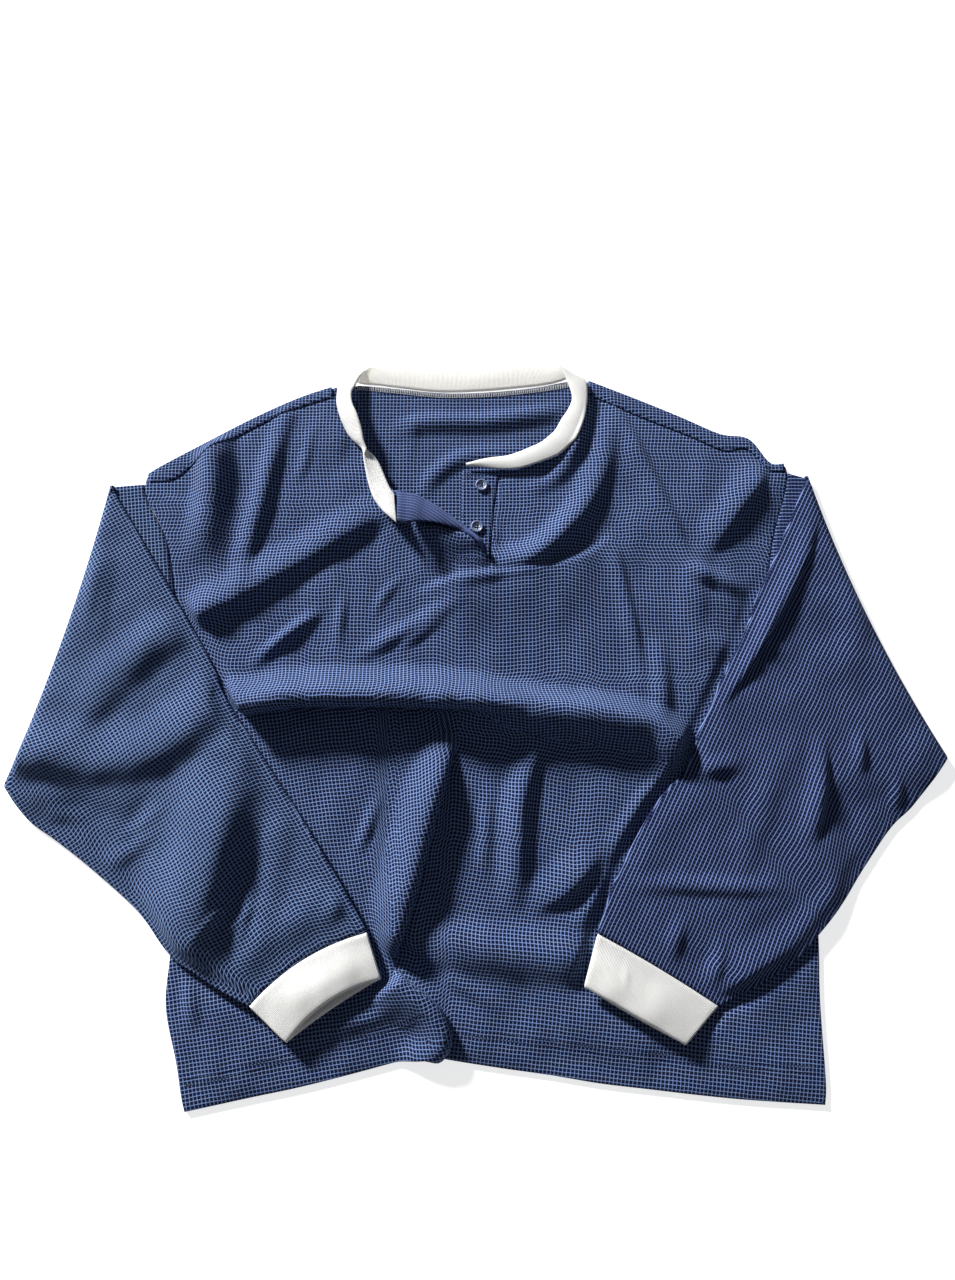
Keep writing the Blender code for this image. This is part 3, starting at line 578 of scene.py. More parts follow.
@dataclass
class Piece:
    """A mesh in millimetres on its way to the scene."""

    name: str
    stands_for: str                         # the node that it stands for, if any
    points: np.ndarray
    faces: list
    finish: bpy.types.Material
    slot: Slot
    wall: float = 0.0
    cloth: np.ndarray | None = None         # cloth map in millimetres, a row a point or a corner of a face
    thickness: np.ndarray | None = None     # share of the wall at each point
    cut: Cut | None = None

    def thicken(self, made: bpy.types.Object) -> None:
        """Give the shell its wall, thinner where its thickness says so.

        Args:
            made: The object of the piece.
        """
        solid = made.modifiers.new("wall", 'SOLIDIFY')
        solid.thickness = self.wall * MM
        solid.offset = 0.0
        solid.use_rim = True
        if self.thickness is not None:
            group = made.vertex_groups.new(name="wall")
            group.add(np.flatnonzero(self.thickness >= 1.0).tolist(), 1.0, 'REPLACE')
            for index in np.flatnonzero(self.thickness < 1.0):
                group.add([int(index)], float(self.thickness[index]), 'REPLACE')
            solid.vertex_group = "wall"

    def add(self) -> bpy.types.Object:
        """Link the piece, thicken it if it has a wall, and set it in the frame.

        Returns:
            The object in the scene.
        """
        mesh = bpy.data.meshes.new(self.name)
        mesh.from_pydata((np.asarray(self.points, float) * MM).tolist(), [], self.faces)
        mesh.update()
        if self.cloth is not None:
            rows = np.asarray(self.cloth, float) * MM
            if len(rows) == len(self.points):
                rows = rows[[index for face in self.faces for index in face]]
            mesh.uv_layers.new(name="cloth").data.foreach_set("uv", rows.astype(np.float32).ravel())
        mesh.materials.append(self.finish)
        mesh.shade_smooth()
        made = bpy.data.objects.new(self.name, mesh)
        bpy.context.scene.collection.objects.link(made)
        if self.wall:
            self.thicken(made)
        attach(made, "root")
        if self.stands_for:
            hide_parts(self.stands_for)
        LOG.info("%s: %d points, %d faces", self.name, len(self.points), len(self.faces))
        return made


def strip_faces(rows: int, columns: int, closed: bool = False) -> list[tuple[int, int, int, int]]:
    """Faces of a grid of points.

    Args:
        rows: Rows of points.
        columns: Points in a row.
        closed: Whether the last column joins the first.

    Returns:
        Quads as point numbers.
    """
    faces = []
    for row in range(rows - 1):
        base = row * columns
        for column in range(columns if closed else columns - 1):
            other = (column + 1) % columns
            faces.append((base + column, base + other, base + other + columns, base + column + columns))
    return faces


def fill_plan(outline: np.ndarray, inner: np.ndarray) -> tuple[np.ndarray, list]:
    """Triangles that fill an outline through the inner points.

    Args:
        outline: Closed outline, a row a point.
        inner: Points inside it.

    Returns:
        The plan points and the faces.
    """
    count = len(outline)
    points = [Vector(row) for row in np.vstack([outline, inner])]
    edges = [(index, (index + 1) % count) for index in range(count)]
    made, _e, faces, _a, _b, _c = delaunay_2d_cdt(points, edges, [], 1, 1e-4)
    return np.array([(p.x, p.y) for p in made]), [tuple(face) for face in faces]


def spread(area: Area, step: float, margin: float, kept: np.ndarray | None = None,
           clear: float = 0.62) -> np.ndarray:
    """Points of a triangular grid inside an area.

    Args:
        area: Where to spread them.
        step: Distance between them.
        margin: How far they stay from the edge.
        kept: Points to keep, which the grid stays clear of.
        clear: How clear of them, as a share of the step.

    Returns:
        The kept points and the grid.
    """
    low, high = area.points.min(0), area.points.max(0)
    lift = step * math.sqrt(3.0) / 2.0
    rows = []
    for index in range(int((high[1] - low[1]) / lift) + 1):
        xs = np.arange(low[0] + (step / 2.0 if index % 2 else 0.0), high[0], step)
        rows.append(np.stack([xs, np.full(len(xs), low[1] + lift * (index + 0.5))], axis=1))
    grid = np.vstack(rows)
    grid = grid[area.contains(grid)]
    grid = grid[area.inner(grid) > margin]
    if kept is None or not len(kept):
        return grid
    kept = kept[area.contains(kept)]
    kept = kept[area.inner(kept) > margin]
    tree = KDTree(len(kept))
    for index, (x, y) in enumerate(kept):
        tree.insert((x, y, 0.0), index)
    tree.balance()
    free = [tree.find((x, y, 0.0))[2] > clear * step for x, y in grid]
    return np.vstack([kept, grid[np.array(free)]])


def thinned(points: np.ndarray, least: float) -> np.ndarray:
    """Points without those that lie too near an earlier one.

    Args:
        points: Plan points.
        least: Least distance between two.

    Returns:
        The points that stay.
    """
    cells: dict[tuple[int, int], list] = {}
    kept = []
    for x, y in points:
        i, j = int(x // least), int(y // least)
        near = (other for a in (i - 1, i, i + 1) for b in (j - 1, j, j + 1)
                for other in cells.get((a, b), ()))
        if all((x - ox) ** 2 + (y - oy) ** 2 >= least * least for ox, oy in near):
            cells.setdefault((i, j), []).append((x, y))
            kept.append((x, y))
    return np.array(kept)


@dataclass
class Stitches:
    """Rows of short bars of thread that follow a line on the cloth."""

    finish: bpy.types.Material
    slot: Slot
    radius: float
    sides: int = 5
    # along the stitch: share of its length, share of its radius, and its middle's height over the radius
    profile: tuple[tuple[float, float, float], ...] = (
        (0.0, 0.45, -0.4), (0.25, 1.0, 0.7), (0.75, 1.0, 0.7), (1.0, 0.45, -0.4))
    points: list = field(default_factory=list)
    faces: list = field(default_factory=list)

    def bar(self, start: np.ndarray, end: np.ndarray, up: np.ndarray) -> None:
        """Add one stitch, sunk at both ends and proud in its middle.

        Args:
            start: Where the thread comes out.
            end: Where it goes in.
            up: Direction away from the cloth.
        """
        along = end - start
        length = np.linalg.norm(along)
        if length < 1e-6:
            return
        along = along / length
        across = np.cross(along, up)
        across /= max(np.linalg.norm(across), 1e-9)
        up = np.cross(across, along)
        base = len(self.points)
        for share, width, rise in self.profile:
            centre = start + along * length * share + up * self.radius * rise
            for corner in range(self.sides):
                angle = math.tau * corner / self.sides
                self.points.append(centre + self.radius * width * (across * math.cos(angle)
                                                                   + up * math.sin(angle)))
        tube = strip_faces(len(self.profile), self.sides, closed=True)
        self.faces += [tuple(base + corner for corner in face) for face in tube]
        self.faces.append(tuple(base + corner for corner in reversed(range(self.sides))))
        self.faces.append(tuple(len(self.points) - self.sides + corner for corner in range(self.sides)))

    def row(self, line: np.ndarray, ups: np.ndarray, pitch: float, share: float = 0.72) -> None:
        """Add a row of stitches along a line in space.

        Args:
            line: Points of the line.
            ups: Direction away from the cloth at each.
            pitch: From one stitch to the next.
            share: Share of the pitch that the thread shows.
        """
        run = running(np.linalg.norm(np.diff(line, axis=0), axis=1))
        count = int(run[-1] / pitch)
        for index in range(count):
            ends = np.array([index * pitch, (index + share) * pitch])
            start, end = (np.array([np.interp(at, run, line[:, axis]) for axis in range(3)]) for at in ends)
            up = np.array([np.interp(ends.mean(), run, ups[:, axis]) for axis in range(3)])
            self.bar(start, end, up)

    def add(self, name: str) -> None:
        """Link all the stitches as one piece."""
        Piece(name, "", np.array(self.points), self.faces, self.finish, self.slot).add()


# ------------------------------------------------------------------ the cut
@dataclass(frozen=True)
class Pattern:
    """Edges in plan that neighbouring pieces share; a pair's lines end in their side's name."""

    shoulder_fold_left: Plan = ((-331, 236), (-314, 247), (-270, 272), (-225, 297), (-181, 318), (-145, 331))
    shoulder_fold_right: Plan = ((112, 337), (165, 315), (206, 297), (245, 279), (273, 274), (293, 249),
        (309, 248))
    shoulder_seam_left: Plan = ((-330, 231), (-304, 233), (-280, 252), (-240, 279), (-191, 305), (-143, 322))
    shoulder_seam_right: Plan = ((111, 324), (165, 299), (215, 278), (248, 263), (271, 265), (292, 243),
        (309, 242))
    armhole_left: Plan = ((-334, 229), (-328, 208), (-316, 188), (-306, 165), (-300, 138), (-295, 108),
        (-291, 60), (-289, 0), (-290, -60))
    armhole_right: Plan = ((312, 241), (305, 212), (295, 181), (288, 148), (285, 110), (286, 60), (294, 0),
        (312, -55))
    side_left: Plan = ((-290, -60), (-286, -140), (-282, -210), (-284, -250), (-284, -266), (-281, -284),
        (-272, -316), (-266, -345), (-262, -359))
    side_right: Plan = ((312, -55), (314, -140), (314, -211), (312, -264), (313, -333), (311, -353))
    hem: Plan = ((-262, -359), (-204, -347), (-159, -338), (-113, -327), (-70, -316), (-47, -311),
        (-26, -315), (21, -322), (66, -328), (110, -335), (155, -340), (200, -345), (245, -349), (311, -353))
    neck_back: Plan = ((-144, 330), (-122, 333), (-79, 329), (-28, 325), (23, 327), (64, 332), (90, 337),
        (110, 337))
    neck_front_left: Plan = ((-143, 322), (-141, 312), (-137, 297), (-130, 281), (-119, 267), (-105, 256),
        (-97, 243), (-91, 229), (-84, 217))
    placket_roll: Plan = ((-84, 217), (-62, 213), (-50, 207), (-38, 199.5), (-26, 190.5), (-15, 182.5),
        (-5, 174), (4, 164.5), (13, 146))
    placket_seam: Plan = ((13, 146), (14.5, 170), (17.5, 205), (23, 241))
    neck_front_right: Plan = ((23, 241), (41, 242), (57, 247), (71, 252), (82, 257), (91, 265), (98, 273),
        (103, 284), (107, 296), (110, 309), (111, 324))
    sleeve_top_left: Plan = ((-366, 226), (-298, 116), (-254, 42), (-245, 19), (-218, -22), (-168, -95),
        (-128, -157), (-101, -202))
    sleeve_under_left: Plan = ((-447, -70), (-423, -102), (-396, -121), (-371, -139), (-348, -157),
        (-325, -176), (-306, -194), (-281, -224), (-258, -239), (-231, -255), (-207, -267))
    sleeve_top_right: Plan = ((330, 236), (318, 209), (304, 178), (288, 143), (273, 113), (257, 73),
        (234, 31), (219, -3), (210, -20), (197, -54), (178, -74), (163, -93), (143, -127), (124, -164),
        (110, -204))
    sleeve_under_right: Plan = ((446, -44), (429, -67), (409, -91), (388, -110), (360, -147), (341, -174),
        (317, -202), (288, -231), (254, -251), (219, -268))
    cuff_end_left: Plan = ((-87, -243), (-171, -298))
    cuff_end_right: Plan = ((96, -250), (186, -300))

    def line(self, name: str, side: Side) -> Plan:
        """One side's line of a pair."""
        return getattr(self, f"{name}_{side.name.lower()}")

    @staticmethod
    def joined(*lines: Plan | np.ndarray) -> np.ndarray:
        """Join lines into one closed outline.

        Args:
            *lines: Lines in order, each starting where the one before ends.

        Returns:
            Points of the outline without repeats.
        """
        rows = np.vstack([np.asarray(line, float) for line in lines])
        kept = [rows[0]]
        for row in rows[1:]:
            if math.dist(row, kept[-1]) > 0.3:
                kept.append(row)
        if math.dist(kept[-1], kept[0]) < 0.3:
            kept.pop()
        return np.array(kept)

    def armhole(self, side: Side) -> np.ndarray:
        """A body panel's edge along an armhole seam.

        Args:
            side: Which armhole.

        Returns:
            Plan points from the shoulder down.
        """
        share = np.linspace(ARMHOLE_TRIM, 1.0 - ARMHOLE_TRIM, 90)
        points = Path(rounded(self.line("armhole", side))).at(share)
        points[:, 0] -= side.value * SEAM_GAP
        return points

    def body(self, shoulder: str, neck: np.ndarray, step: float) -> np.ndarray:
        """Closed outline of a body panel.

        Args:
            shoulder: Name of its pair of shoulder lines.
            neck: Its neckline, right to left.
            step: Distance between the points.

        Returns:
            Plan points from the hem's left end round to the left side.
        """
        left, right = (rounded(self.line(shoulder, side))[::-1] for side in Side)
        outline = self.joined(rounded(self.hem), rounded(self.side_right)[::-1], self.armhole(Side.RIGHT)[::-1],
                              right, neck, left, self.armhole(Side.LEFT), rounded(self.side_left))
        closed = Path(np.vstack([outline, outline[:1]]))
        count = round(closed.length / step)
        return closed.at(np.arange(count) / count)

    def front(self, step: float) -> np.ndarray:
        """Outline of the front, slit open at the placket.

        Args:
            step: About how far apart its points lie.

        Returns:
            Plan points, one row each.
        """
        neck = self.joined(rounded(self.neck_front_right)[::-1], rounded(self.placket_seam)[::-1],
                           rounded(self.placket_roll)[::-1], rounded(self.neck_front_left)[::-1])
        return self.body("shoulder_seam", neck, step)

    def back(self, step: float) -> np.ndarray:
        """Outline of the back, up to the folds over the shoulders."""
        return self.body("shoulder_fold", rounded(self.neck_back)[::-1] - (0.0, SEAM_GAP), step)

    def sleeve_edges(self, side: Side) -> tuple[Path, Path]:
        """The fold along a sleeve's top and the one along its underside, elbow fold to wrist."""
        top, under = (Path(rounded(self.line(name, side))) for name in ("sleeve_top", "sleeve_under"))
        return top, under


@dataclass
class Ground:
    """Where the sleeves lie, and how high the cloth under them is."""

    pattern: Pattern
    margin: float = 3.5                      # the front lies level this far round a sleeve
    run: float = 11.0                        # and takes this far to reach its full relief
    level: float = 9.0                       # a sleeve stays level this far past the cloth below it
    fall: float = 30.0                       # and takes this far to come down to the surface

    def __post_init__(self) -> None:
        """Measure the stacked areas."""
        cut = self.pattern
        self.body = Area(cut.joined(cut.hem, cut.side_right[::-1], cut.armhole_right[::-1],
                                    cut.shoulder_fold_left[::-1], cut.armhole_left, cut.side_left))
        self.lower, self.sleeves = {}, {}
        for side in Side:
            top, under = cut.line("sleeve_top", side), cut.line("sleeve_under", side)
            self.lower[side] = Area(cut.joined(cut.line("armhole", side), (under[0], top[0])))
            self.sleeves[side] = Area(cut.joined(top, cut.line("cuff_end", side), under[::-1]))

    def free(self, places: np.ndarray) -> np.ndarray:
        """1 on the open front, falling to 0 where a sleeve lies on it."""
        nearest = np.minimum(*(sleeve.outside(places) for sleeve in self.sleeves.values()))
        return ease((nearest - self.margin) / self.run)

    def height(self, side: Side, places: np.ndarray) -> np.ndarray:
        """Height of a sleeve's underside, falling to the surface beside the body."""
        distance = np.minimum(self.body.outside(places), self.lower[side].outside(places))
        return SLEEVE_LIFT * (1.0 - ease((distance - self.level) / self.fall))


def edge_rows(outline: np.ndarray, depths: Sequence[float], area: Area) -> np.ndarray:
    """Points just inside an outline, so that a cloth's edge can be rounded.

    Args:
        outline: Closed outline.
        depths: How far in each row lies.
        area: The outlined area.

    Returns:
        The points that lie inside.
    """
    ahead = np.roll(outline, -1, axis=0) - np.roll(outline, 1, axis=0)
    inward = np.stack([-ahead[:, 1], ahead[:, 0]], axis=1)
    inward /= np.maximum(np.hypot(inward[:, 0], inward[:, 1]), 1e-9)[:, None]
    rows = np.vstack([outline + inward * depth for depth in depths])
    gap = area.edge.nearest(rows)[0]
    return rows[area.contains(rows) & (gap > min(depths) * 0.8)]


# ------------------------------------------------------------------ body
@dataclass
class Front:
    """Front panel with its folds, open at the placket."""

    pattern: Pattern
    ground: Ground
    finish: bpy.types.Material
    step: float = 3.5
    swell: float = 3.0                       # how far it stands off the back between its edges
    swell_run: float = 46.0
    droop: float = 0.35                      # how far its edges come down to the back
    droop_run: float = 6.0
    sink: float = 0.25                       # how far a trough may go down
    hump: tuple[float, float] = (-16.0, 172.0)       # where it climbs over the under placket
    hump_rise: float = 2.4
    hump_flat: float = 24.0                  # how far its level top reaches
    hump_run: float = 20.0                   # how far it takes to come down from there
    hump_stretch: float = 0.72               # how much narrower it is up the front
    grid: float = 3.0                        # step of the grids of cloth lengths
    grid_x: tuple[float, float] = (-345.0, 326.0)
    grid_y: tuple[float, float] = (-372.0, 345.0)
    hump_foot: tuple[float, float] = (118.0, 26.0)   # Y where the hump's foot begins, and its length
    hump_right: float = 13.0                 # X right of which it begins further up
    slit_foot: tuple[float, float] = (143.0, 14.0)   # Y where it ends there, and over what length
    left_grain: float = math.radians(10.5)   # turn of the cloth left of the pleat
    right_grain: float = math.radians(-6.4)
    waves: float = 1.15
    wave_run: float = 14.0                   # how far from an edge the fine waves take to rise
    # Y of places along the placket seam, and their X
    slit: tuple[tuple[float, ...], ...] = ((170.0, 205.0, 241.0), (14.5, 17.5, 23.0))
    main_folds: int = 3                      # folds with closer points, at these shares of their slopes
    shares: tuple[float, ...] = (-0.55, -0.4, -0.26, -0.13, 0.0, 0.12, 0.24, 0.36, 0.5, 0.65, 0.82, 1.0)
    # where the cloth turns out from below the roll
    under_roll: Plan = ((-262, 0), (-215, 2), (-172, 9), (-36, 9), (10, -4), (41, -18), (79, -26), (118, -32),
                        (150, -38), (175, -46), (203, -60))
    folds: tuple[Fold, ...] = (
        Fold("belly_roll", ((-262, 11, 7), (-240, 14, 22), (-215, 17, 26), (-172, 24, 28), (-120, 25, 29),
             (-75, 25, 29), (-36, 24, 28), (-5, 21, 18), (30, 16, 6), (50, 13, 0)), 21, 17, 12, 8),
        Fold("belly_ridge", ((-50, 24, 0), (-20, 21, 8), (10, 17, 18), (41, 13, 25), (79, 8, 27),
             (118, 4, 26), (150, -3, 25), (172, -11, 22), (189, -23, 20), (203, -36, 15), (212, -50, 7),
             (218, -64, 0)), 18, 50, 8),
        Fold("pleat", ((-50, -313, 9), (-38, -298, 12), (-45, -281, 13), (-60, -267, 14), (-76, -256, 15),
             (-88, -243, 16), (-91, -228, 16), (-88, -212, 16), (-82, -195, 17), (-76, -174, 17),
             (-68, -147, 17), (-61, -120, 17), (-54, -92, 17), (-44, -60, 16), (-35, -34, 9), (-27, -14, 0)),
             25, 15, 8, 6),
        Fold("pleat_foot", ((-80, -208, 0), (-66, -222, -8), (-46, -236, -5), (-26, -246, 0)), 12, 20),
        Fold("neck_lip_right", ((30, 240, 0), (45, 241, 2), (60, 246, 3), (82, 257, 4), (98, 273, 4),
             (107, 296, 3), (110, 309, 2), (111, 320, 0)), 30, 14),
        Fold("placket_lip", ((-112, 262, 0), (-99, 248, 4), (-91, 232, 9), (-84, 217, 12), (-58, 213, 14),
             (-37, 202, 14), (-19, 188, 12), (-3, 175, 9), (9, 156, 4), (13, 146, 0)), 30, 17),
        Fold("yoke_left", ((-269, 143, 0), (-267, 174, 8), (-264, 210, 13), (-263, 241, 15), (-265, 268, 15),
             (-268, 289, 11)), 27, 27),
        Fold("yoke_inner", ((-236, 112, 0), (-226, 159, 6), (-214, 205, 7), (-206, 247, 6.5), (-199, 275, 5),
             (-193, 298, 4)), 18, 13),
        Fold("yoke_far", ((-147, 241, 0), (-138, 273, 2.5), (-137, 305, 0)), 24, 14),
        Fold("yoke_fine", ((-181, 225, 0), (-172, 252, 3), (-167, 289, 0)), 10, 8),
        Fold("chest_left", ((-317, 72, 0), (-300, 80, 8), (-274, 94, 12.5), (-232, 115, 10), (-174, 150, 9.5),
             (-126, 180, 8.5), (-85, 205, 3)), 30, 21, 2),
        Fold("chest_slant", ((-223, 38, 0), (-184, 73, 4.5), (-148, 102, 0)), 11, 9),
        Fold("chest_slant_fine", ((-217, 49, 0), (-182, 75, 2.9), (-151, 97, 0)), 8, 8),
        Fold("chest_fine", ((-135, 57, 0), (-133, 89, 3.5), (-129, 118, 0)), 8, 7),
        Fold("chest_wisp", ((-102, 87, 0), (-91, 112, 2.6), (-68, 137, 0)), 8, 7),
        Fold("chest_middle", ((-123, 47, 0), (-71, 77, 5), (-11, 112, 0)), 13, 10),
        Fold("chest_middle_fine", ((-81, 57, 0), (-56, 75, 3.5), (-27, 95, 0)), 9, 8),
        Fold("crescent", ((-7, 135, 4), (27, 146, 9.5), (52, 152, 12.5), (77, 171, 12.5), (105, 204, 10),
             (120, 236, 7.5), (130, 278, 4), (135, 307, 0)), 22, 19, 2),
        Fold("neck_valley", ((42, 224, 0), (67, 227, 3), (88, 246, 5), (101, 273, 5.5), (107, 305, 4),
             (107, 329, 0)), 10, 14),
        Fold("crease_right", ((210, 137, 0), (193, 189, 4.5), (170, 241, 5), (150, 286, 4.5), (130, 320, 0)),
             22, 9),
        Fold("crease_low_right", ((162, 18, 0), (153, 69, 4), (141, 128, 4), (133, 169, 0)), 16, 8),
        Fold("shoulder_right", ((223, 161, 0), (235, 171, 5), (258, 202, 8), (276, 227, 7.5), (283, 252, 0)),
             28, 15, 1),
        Fold("armhole_right", ((203, 143, 0), (230, 130, 7), (264, 116, 0)), 14, 12),
        Fold("flank_right", ((200, 69, 0), (225, 65, 2.5), (255, 57, 0)), 18, 22),
        Fold("flank_low", ((178, -7, 0), (177, 13, 6), (176, 45, 4), (173, 73, 0)), 16, 14),
        Fold("flank_high", ((209, 104, 0), (229, 110, 1.2), (252, 104, 0)), 16, 18),
        Fold("armhole_fall", ((207, 41, 0), (210, 89, 3.5), (215, 134, 4), (217, 169, 0)), 26, 18),
        Fold("waist_middle", ((36, -186, 0), (37, -130, 10), (40, -84, 10), (54, -35, 6)), 22, 16, 1),
        Fold("waist_right", ((45, -182, 0), (76, -168, 8), (95, -150, 9), (109, -130, 2), (118, -115, 0)),
             30, 16, 2),
        Fold("waist_far", ((120, -141, 0), (143, -106, 4.5), (164, -79, 5), (194, -50, 0)), 16, 9),
        Fold("hollow_foot", ((-73, 190, 3), (-55, 183, 9), (-31, 176, 12), (-5, 166, 10), (16, 151, 0)),
             8, 30),
        Fold("waist_right_low", ((85, -204, 0), (113, -171, 4), (140, -137, 0)), 12, 11),
        Fold("waist_left", ((-111, -135, 0), (-104, -112, 3.5), (-90, -75, 0)), 9, 8),
        Fold("waist_fine", ((6, -157, 0), (8, -112, 2.7), (12, -61, 0)), 11, 9),
        Fold("waist_fall", ((-30, -39, 0), (-35, -84, 5), (-44, -130, 5.5), (-53, -180, 4), (-60, -211, 0)),
             7, 62),
        Fold("chest_fall", ((-66, 108, 0), (-17, 128, 7), (51, 135, 9), (111, 153, 5), (141, 179, 0)),
             10, 68),
        Fold("hem_swell", ((-64, -202, 4), (-7, -214, 8), (39, -219, 8.5), (85, -226, 8), (123, -235, 0)),
             27, 36, 2),
        Fold("hem_slant", ((-34, -239, 0), (-7, -254, 3.5), (25, -275, 0)), 11, 10),
        Fold("tuck_left", ((-210, -43, 0), (-189, -31, 3.5), (-171, -17, 3.5), (-160, -5, 0)), 15, 11, 2),
        Fold("side_left", ((-254, -289, 0), (-261, -263, 5), (-270, -230, 0)), 12, 10),
        Fold("hem_left", ((-160, -299, 0), (-115, -282, 4), (-70, -272, 0)), 14, 13),
    )

    def __post_init__(self) -> None:
        """Lay out the outline, the folds and the grids of cloth lengths."""
        self.outline = self.pattern.front(self.step)
        self.area = Area(self.outline[::3])
        self.creases = Folds(self.folds, self.waves, seed=11)
        self.xs, self.ys = np.arange(*self.grid_x, self.grid), np.arange(*self.grid_y, self.grid)
        places = np.stack(np.meshgrid(self.xs, self.ys), axis=2).reshape(-1, 2)
        spot = self.surface(places).reshape(len(self.ys), len(self.xs), 3)
        across, upward = lengths(spot, 1), lengths(spot, 0)
        self.from_middle = across - across[:, np.abs(self.xs).argmin()][:, None]
        self.from_left = across + self.xs[0]
        self.from_right = across - across[:, -1:] + self.xs[-1]
        self.from_top = upward - upward[-1:] + self.ys[-1]
        self.from_hem = upward + self.ys[0]

    def surface(self, places: np.ndarray) -> np.ndarray:
        """Middle surface of the panel.

        Args:
            places: Plan points of the flat panel, one row each.

        Returns:
            Where they lie, in millimetres.
        """
        x, y = places.T
        height, shift = self.creases.relief(places)
        free = self.ground.free(places)
        edge = self.area.inner(places)
        rise = self.swell * ease(edge / self.swell_run)
        rise = rise + height + self.creases.unevenness(places) * ease(edge / self.wave_run)
        z = FRONT_Z + np.maximum(free * rise, -self.sink) - self.droop * (1.0 - ease(edge / self.droop_run))
        slit_x = np.interp(y, *self.slit)
        foot = ease((y - self.hump_foot[0]) / self.hump_foot[1])
        ending = 1.0 - ease((y - self.slit_foot[0]) / self.slit_foot[1])
        beside = np.where((x > slit_x) | (x > self.hump_right), ending, 1.0)
        distance = np.hypot((x - self.hump[0]) * self.hump_stretch, y - self.hump[1])
        z = z + self.hump_rise * (1.0 - ease((distance - self.hump_flat) / self.hump_run)) * foot * beside
        return np.stack([x + free * shift[:, 0], y + free * shift[:, 1], z], axis=1)

    def lookup(self, grid: np.ndarray, places: np.ndarray) -> np.ndarray:
        """Read a grid between its points.

        Args:
            grid: Lengths of cloth, rows up the panel and columns across it.
            places: Plan points of the flat panel.

        Returns:
            A value for each place.
        """
        column = np.clip((places[:, 0] - self.xs[0]) / self.grid, 0, len(self.xs) - 1.001)
        row = np.clip((places[:, 1] - self.ys[0]) / self.grid, 0, len(self.ys) - 1.001)
        i, j = column.astype(int), row.astype(int)
        s, t = column - i, row - j
        low, high = (grid[at, i] * (1 - s) + grid[at, i + 1] * s for at in (j, j + 1))
        return low * (1 - t) + high * t

    def cloth_maps(self, places: np.ndarray) -> np.ndarray:
        """Cloth coordinates of the stretches above the roll and on both sides of the pleat.

        Args:
            places: Plan points of the flat panel.

        Returns:
            Three maps, each with one row a point, in millimetres.
        """
        maps = [np.stack([self.lookup(self.from_middle, places), self.lookup(self.from_top, places)], axis=1)]
        for grid, turn, pivot in ((self.from_left, self.left_grain, (-262.0, -359.0)),
                                  (self.from_right, self.right_grain, (311.0, -353.0))):
            dx = self.lookup(grid, places) - pivot[0]
            dy = self.lookup(self.from_hem, places) - pivot[1]
            cos, sin = math.cos(turn), math.sin(turn)
            maps.append(np.stack([pivot[0] + dx * cos + dy * sin, pivot[1] - dx * sin + dy * cos], axis=1))
        return np.stack(maps)

    def stretch(self, places: np.ndarray) -> np.ndarray:
        """Tell which stretch of cloth each place belongs to.

        Args:
            places: Plan points of the flat panel.

        Returns:
            0 above the roll, 1 left of the pleat and 2 right of it.
        """
        pleat = next(np.array(fold.crest) for fold in self.folds if fold.name == "pleat")
        roll = np.array(self.under_roll)
        below = places[:, 1] < np.interp(places[:, 0], roll[:, 0], roll[:, 1])
        right = places[:, 0] > np.interp(places[:, 1], pleat[:, 1], pleat[:, 0]) + 10.0
        return np.where(below, np.where(right, 2, 1), 0)

    def mesh_points(self) -> np.ndarray:
        """Inner points of the panel, closer together down the steep side of the main folds.

        Returns:
            Plan points, one row each.
        """
        rows = []
        for fold, crest in self.creases.crests[:self.main_folds]:
            path = Path(crest)
            line = path.resampled(self.step)
            normal = path.nearest(line + 1e-3)[3]
            rows += [line + normal * share * (fold.lee if share > 0.0 else fold.before)
                     for share in self.shares]
        kept = thinned(np.vstack(rows), 1.7)
        kept = kept[self.area.inner(kept) > 5.0]
        edge = edge_rows(self.outline, (0.9, 2.4), self.area)
        return np.vstack([edge, spread(self.area, self.step, 4.2, kept)])

    def build(self) -> None:
        """Build the panel."""
        plan, faces = fill_plan(self.outline, self.mesh_points())
        corners = np.array(faces)
        stretch = self.stretch(plan[corners].mean(axis=1))
        cloth = self.cloth_maps(plan)[np.repeat(stretch, 3), corners.ravel()]
        thickness = 0.45 + 0.55 * ease(self.area.inner(plan) / 2.2)
        Piece("front_panel", "front", self.surface(plan), faces, self.finish, Slot.WAFFLE, WALL, cloth,
              thickness, Cut(0.66, 0.76, 0.40, rests_on=("back_panel",))).add()


